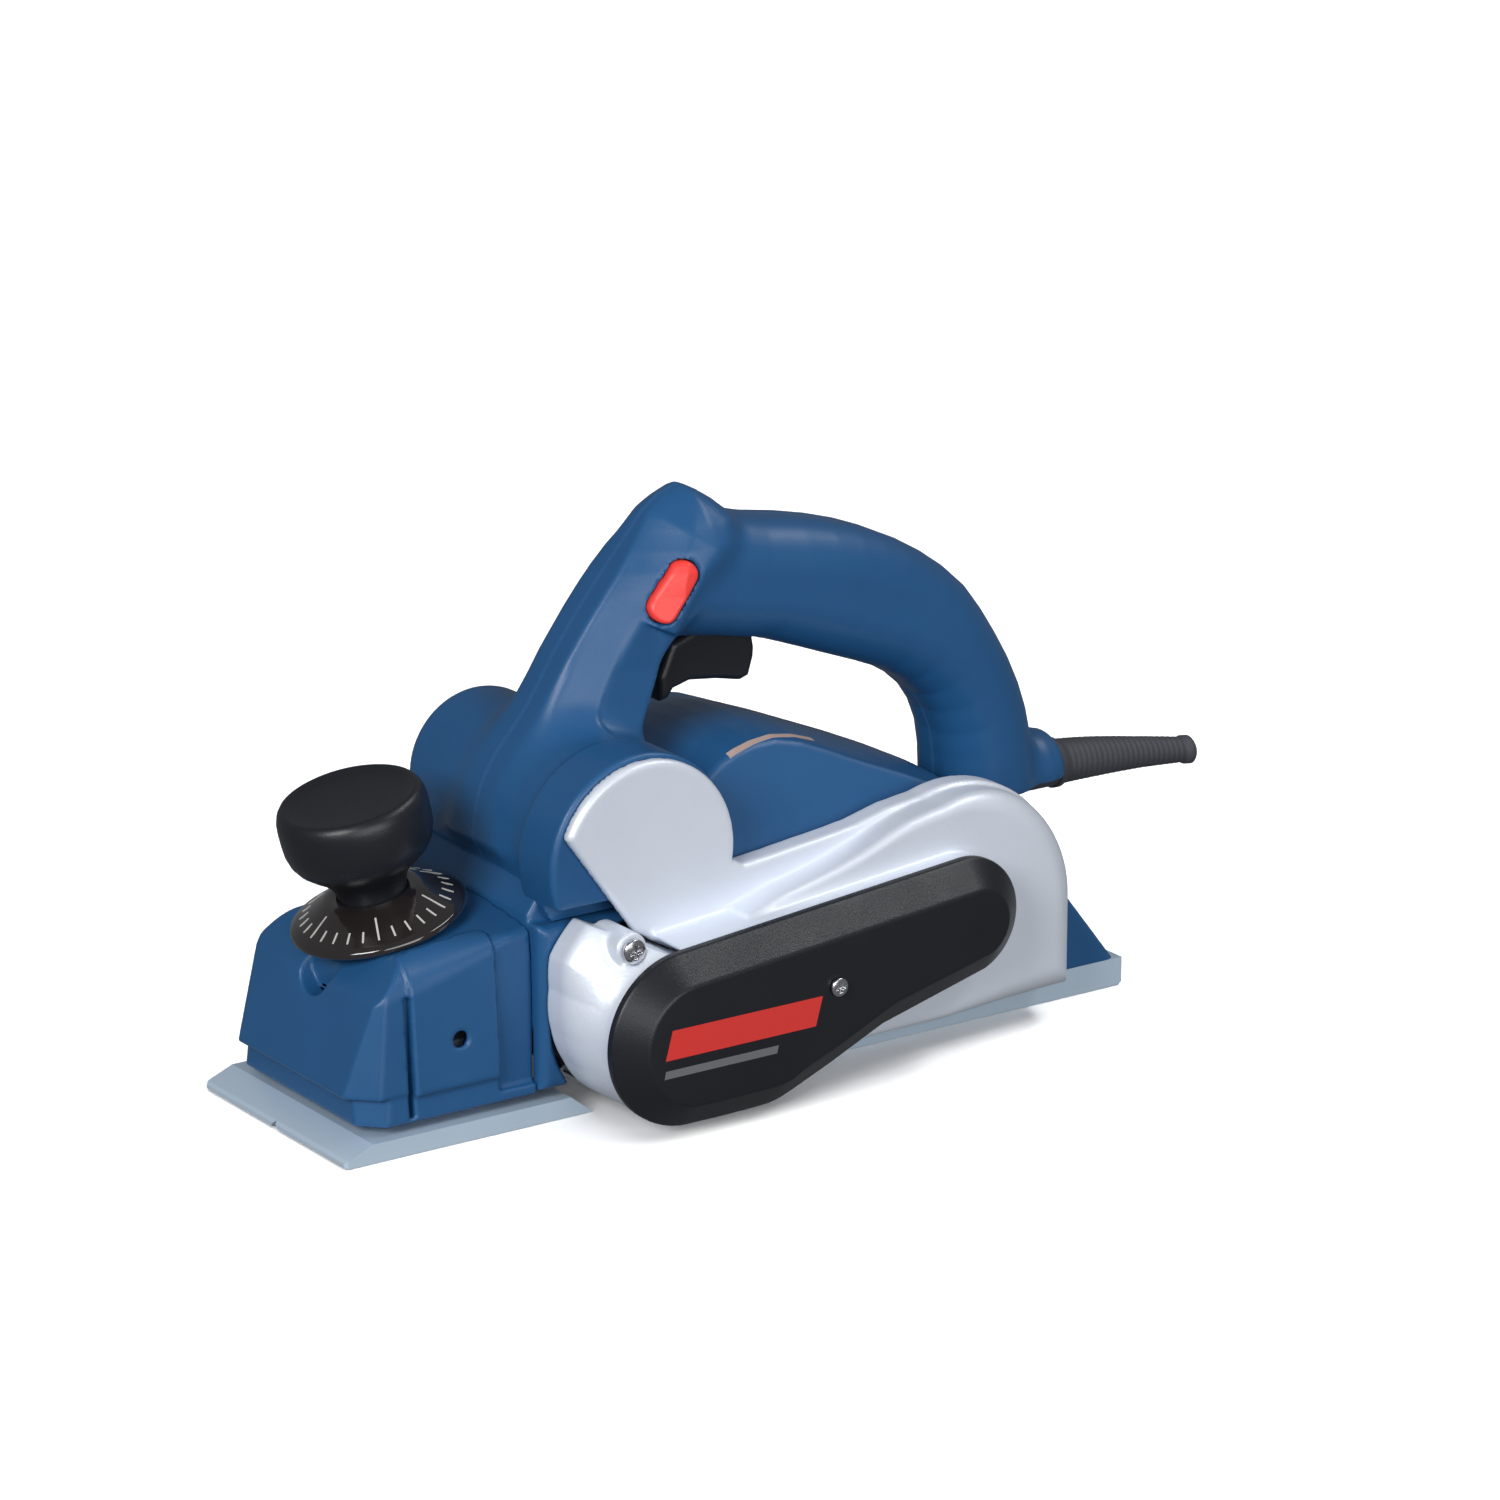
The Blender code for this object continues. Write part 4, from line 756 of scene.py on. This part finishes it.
def make_dial():
    """Polished ring under the knob, with plain tick marks on its cone and every fifth longer."""
    cone = [(22.0, 4.4), (18.4, 6.7), (15.4, 8.4)]
    profile = ([(26.3, 0.0), (26.8, 0.5), (26.8, 1.6), (26.4, 2.2), (24.8, 3.0)] + cone
               + [(14.4, 8.9), (11.6, 9.2), (11.0, 9.0), (11.0, 4.3), (4.6, 4.3), (4.6, 0.0)])
    obj = lathe("dial_ring", profile, KNOB_BASE, KNOB_AXIS, 96)
    dress(obj, "knob", "gloss_black", GLOSS_BLACK, "scale_ring", sharp=40.0)
    ticks, half_width, short_start, long_start = 30, 0.28, 20.2, 16.6
    end, end_height = 23.4, 3.7
    verts, faces = [], []
    axis = Vector(KNOB_AXIS)
    side = Vector((math.cos(KNOB_TILT), 0.0, math.sin(KNOB_TILT)))
    other = axis.cross(side)
    for i in range(ticks):
        angle = math.tau * i / ticks
        start = short_start if i % 5 else long_start
        start_height = np.interp(start, *zip(*cone[::-1]))
        out = side * math.cos(angle) + other * math.sin(angle)
        along = axis.cross(out)
        n = len(verts)
        for r, h in ((start, start_height), (end, end_height)):
            for w in (-half_width, half_width):
                for lift in (-0.25, 0.12):
                    verts.append(Vector(KNOB_BASE) + out * r + along * w + axis * (h + lift))
        faces += [(n, n + 1, n + 3, n + 2), (n + 4, n + 6, n + 7, n + 5),
                  (n, n + 4, n + 5, n + 1), (n + 2, n + 3, n + 7, n + 6),
                  (n + 1, n + 5, n + 7, n + 3), (n, n + 2, n + 6, n + 4)]
    obj = mesh_object("dial_ticks", verts, faces)
    fix_normals(obj)
    dress(obj, "knob", "gloss_black", TICK_INK, sharp=30.0)


def trigger_field(x, y, z):
    """Trigger blade with rounded rims."""
    return slab(outline_distance(x, z, TRIGGER_OUTLINE), y, -7.0, 7.0, 2.2)


def button_field(x, y, z):
    """Lock button whose face follows the leaning side of the post, a little proud of it."""
    face = (-(post_width(x, z) + 1.5) - y) * 0.89
    body = rounded(stadium_field(x, z, BUTTON, 4.1, 10.2), face, 1.4)
    return np.maximum(body, y + 12.0)


def make_sleeve():
    """Tapered rubber sleeve with shallow rings, drooping a little towards its tip."""
    reach, droop_start, bore, ring_pitch, ring_depth = 69.0, 12.0, 2.4, 2.2, 0.22
    profile = [(-11.5, 8.7), (-9.0, 8.7), (-8.6, 7.5), (8.0, 7.5), (11.4, 7.5), (11.8, 8.2),
               (13.6, 8.2), (14.2, 7.5)]
    for i in range(24):
        along = 15.5 + i * ring_pitch
        base = np.interp(along, [14.0, 28.0, 46.0, 66.0], [7.4, 6.6, 5.3, 4.2])
        profile += [(along, base), (along + 0.5, base - ring_depth),
                    (along + 0.9, base - ring_depth), (along + 1.3, base - 0.02)]
    profile = [p for p in profile if p[0] < 65.0]
    profile += [(65.6, 4.3), (66.2, 4.75), (68.6, 4.75), (reach, 4.4), (reach, bore), (60.0, bore),
                (-11.5, bore)]
    rings = []
    for along, radius in profile:
        drooping = (max(0.0, along - droop_start) / (reach - droop_start)) ** 1.5
        middle = CORD_Z + (SLEEVE_TIP_Z - CORD_Z) * drooping
        rings.append([(CORD_X + along, radius * math.cos(a), middle + radius * math.sin(a))
                      for a in [math.tau * i / 40 for i in range(40)]])
    obj = loft_rings("lead_sleeve", rings, closed=True)
    dress(obj, "root", "rubber", RUBBER, "cord_sleeve", sharp=50.0)


def make_screw(name, cad_node, centre, out, radius, height, shank_radius, shank):
    """Screw along Y with a domed head and a cross recess; out is 1 or -1, the head's side."""
    centre = np.array(centre)
    dome_extra, cross_half = 9.0, 0.55

    def field(x, y, z):
        rise = (y - centre[1]) * out
        r = np.hypot(x - centre[0], z - centre[2])
        dome = np.hypot(r, rise + dome_extra) - (dome_extra + height)
        head = rounded(np.maximum(dome, -rise), r - radius, 0.3)
        stem = np.maximum(r - shank_radius, np.maximum(rise - 0.5, -rise - shank))
        a, b = np.abs(x - centre[0]), np.abs(z - centre[2])
        arm = radius * 0.55
        cross = np.minimum(np.maximum(a - cross_half, b - arm), np.maximum(b - cross_half, a - arm))
        cross = np.maximum(cross, height * 0.25 - rise)
        return carve(np.minimum(head, stem), cross, 0.1)

    y_ends = sorted((centre[1] + out * height, centre[1] - out * shank))
    low = (centre[0] - radius, y_ends[0], centre[2] - radius)
    high = (centre[0] + radius, y_ends[1], centre[2] + radius)
    moulded(name, field, low, high, 0.3, "root", "steel", STEEL, cad_node)


def make_screws():
    """Head radius, head height, shank radius and shank length end each call."""
    for number, (x, z) in enumerate(FAR_SCREWS, 1):
        make_screw("far_screw_%d" % number, "far_cover_screw_%d" % number,
                   (x, 48.3, z), 1.0, 4.0, 2.0, 1.7, 14.0)
    for number, (x, z) in enumerate(HANDLE_SCREWS, 1):
        make_screw("grip_screw_%d" % number, "handle_screw_%d" % number,
                   (x, 9.3, z), 1.0, 3.1, 1.8, 1.5, 18.0)
    for name, cad_node, (x, z), y, sizes in (
            ("casting_screw", "drum_housing_screw", HOUSING_SCREW, -62.3, (3.8, 2.2, 1.9, 14.0)),
            ("boss_screw", "side_plate_screw", PLATE_SCREW, -64.0, (3.8, 2.0, 1.9, 20.0)),
            ("guard_screw", "cover_screw", COVER_SCREW, -78.3, (2.9, 1.5, 1.6, 13.0))):
        make_screw(name, cad_node, (x, y, z), -1.0, *sizes)


def soften_cad():
    """Carried-over CAD nodes get their slot's finish and small bevels."""
    slots = {row["node"]: row["material_slot"] for row in frame["record"]["subparts"]}
    for name, obj in frame["nodes"].items():
        if obj.hide_render:
            continue
        obj.data.materials.clear()
        obj.data.materials.append(SLOT_FINISH[slots[name]])
        bevel = obj.modifiers.new("edges", 'BEVEL')
        bevel.width = (0.4 if name in ("rear_sole", "front_shoe") else 0.15) * MM
        bevel.segments = 2
        bevel.limit_method = 'ANGLE'
        bevel.angle_limit = math.radians(35.0)


# ---- stage -------------------------------------------------------------------------------------
def make_floor():
    """Pale floor just under the sole, kept out of bounce light and reflections."""
    bpy.ops.mesh.primitive_plane_add(size=40.0, location=(0.0, 0.0, -0.2 * MM))
    floor = bpy.context.object
    floor.name = "floor"
    mat = bpy.data.materials.new("pale_floor")
    mat.use_nodes = True
    shader = mat.node_tree.nodes["Principled BSDF"]
    shader.inputs["Base Color"].default_value = (0.93, 0.93, 0.93, 1.0)
    shader.inputs["Roughness"].default_value = 0.9
    shader.inputs["Specular IOR Level"].default_value = 0.1
    floor.data.materials.append(mat)
    floor.visible_diffuse = floor.visible_glossy = False
    return floor


def make_area(name, place, size, power):
    """Rectangular lamp aimed at the middle of the object; place and size are in metres."""
    light = bpy.data.lights.new(name, 'AREA')
    light.shape = 'RECTANGLE'
    light.size, light.size_y = size
    light.energy = power
    lamp = link(bpy.data.objects.new(name, light))
    lamp.location = place
    aim = Vector((0.0, 0.0, 0.07)) - Vector(place)
    lamp.rotation_euler = aim.to_track_quat('-Z', 'Y').to_euler()


def make_lights(floor):
    """Soft lamps for the object, and a sun that lights nothing but the floor."""
    world = bpy.data.worlds.new("soft_room")
    bpy.context.scene.world = world
    world.use_nodes = True
    background = world.node_tree.nodes["Background"]
    background.inputs["Color"].default_value = (0.93, 0.96, 1.0, 1.0)
    background.inputs["Strength"].default_value = 0.17
    make_area("key", (-1.9, -0.9, 1.2), (1.1, 0.9), 38.0)
    make_area("fill", (-0.4, -2.2, 0.6), (2.0, 1.0), 24.0)
    make_area("overhead", (1.05, -0.6, 1.6), (1.5, 0.3), 11.0)
    sun = bpy.data.lights.new("floor_light", 'SUN')
    sun.energy = 2.6
    sun.angle = math.radians(70.0)
    lamp = link(bpy.data.objects.new("floor_light", sun))
    lit = bpy.data.collections.new("lit_by_floor_light")
    lit.objects.link(floor)
    lamp.light_linking.receiver_collection = lit


def make_camera():
    """Camera at the photograph's angle, from the front on the belt side."""
    azimuth, elevation, distance = math.radians(-34.661), math.radians(17.2), 1.8
    target = Vector((0.02824, 0.0, 0.08709))
    back = Vector((math.sin(azimuth) * math.cos(elevation),
                   -math.cos(azimuth) * math.cos(elevation), math.sin(elevation)))
    data = bpy.data.cameras.new("camera")
    data.sensor_width = 36.0
    data.lens = 140.94
    data.clip_start, data.clip_end = 0.05, 60.0
    camera = link(bpy.data.objects.new("camera", data))
    camera.location = target + back * distance
    camera.rotation_euler = (-back).to_track_quat('-Z', 'Y').to_euler()
    bpy.context.scene.camera = camera


make_shell()
moulded("hump_housing", housing_field, (-75.0, -41.5, 9.0), (142.0, 41.5, 102.0), 1.1, "root",
        "blue_housing", BLUE, "motor_housing")
moulded("nose_block", block_field, (-137.5, -40.0, 8.5), (-74.5, 39.0, 63.0), 0.8, "root",
        "blue_housing", BLUE, "front_housing")
moulded("end_cover", far_cover_field, (-70.0, 41.0, 6.0), (99.0, 48.5, 83.5), 0.9, "root",
        "blue_housing", BLUE, "far_cover")
moulded("side_casting", plate_field, (-73.5, -68.2, 7.5), (112.0, -41.0, 109.5), 0.9, "root",
        "cast_silver", SILVER, "side_plate")
moulded("drum_casting", drum_housing_field, (-75.0, -68.5, 1.5), (-2.0, -41.0, 69.0), 0.7, "root",
        "cast_silver", SILVER, "drum_housing")
moulded("squeeze_trigger", trigger_field, (-10.0, -7.5, 109.5), (26.5, 7.5, 132.5), 0.6, "trigger",
        "black_plastic", BLACK, "trigger")
moulded("red_button", button_field, (-21.0, -21.8, 135.0), (-2.0, -11.5, 162.0), 0.5, "button",
        "red_plastic", RED, "lock_button")
make_crease_strip()
make_belt_cover()
make_knob()
make_dial()
make_sleeve()
make_screws()
soften_cad()
make_lights(make_floor())
make_camera()
bpy.context.scene.view_settings.view_transform = 'Standard'
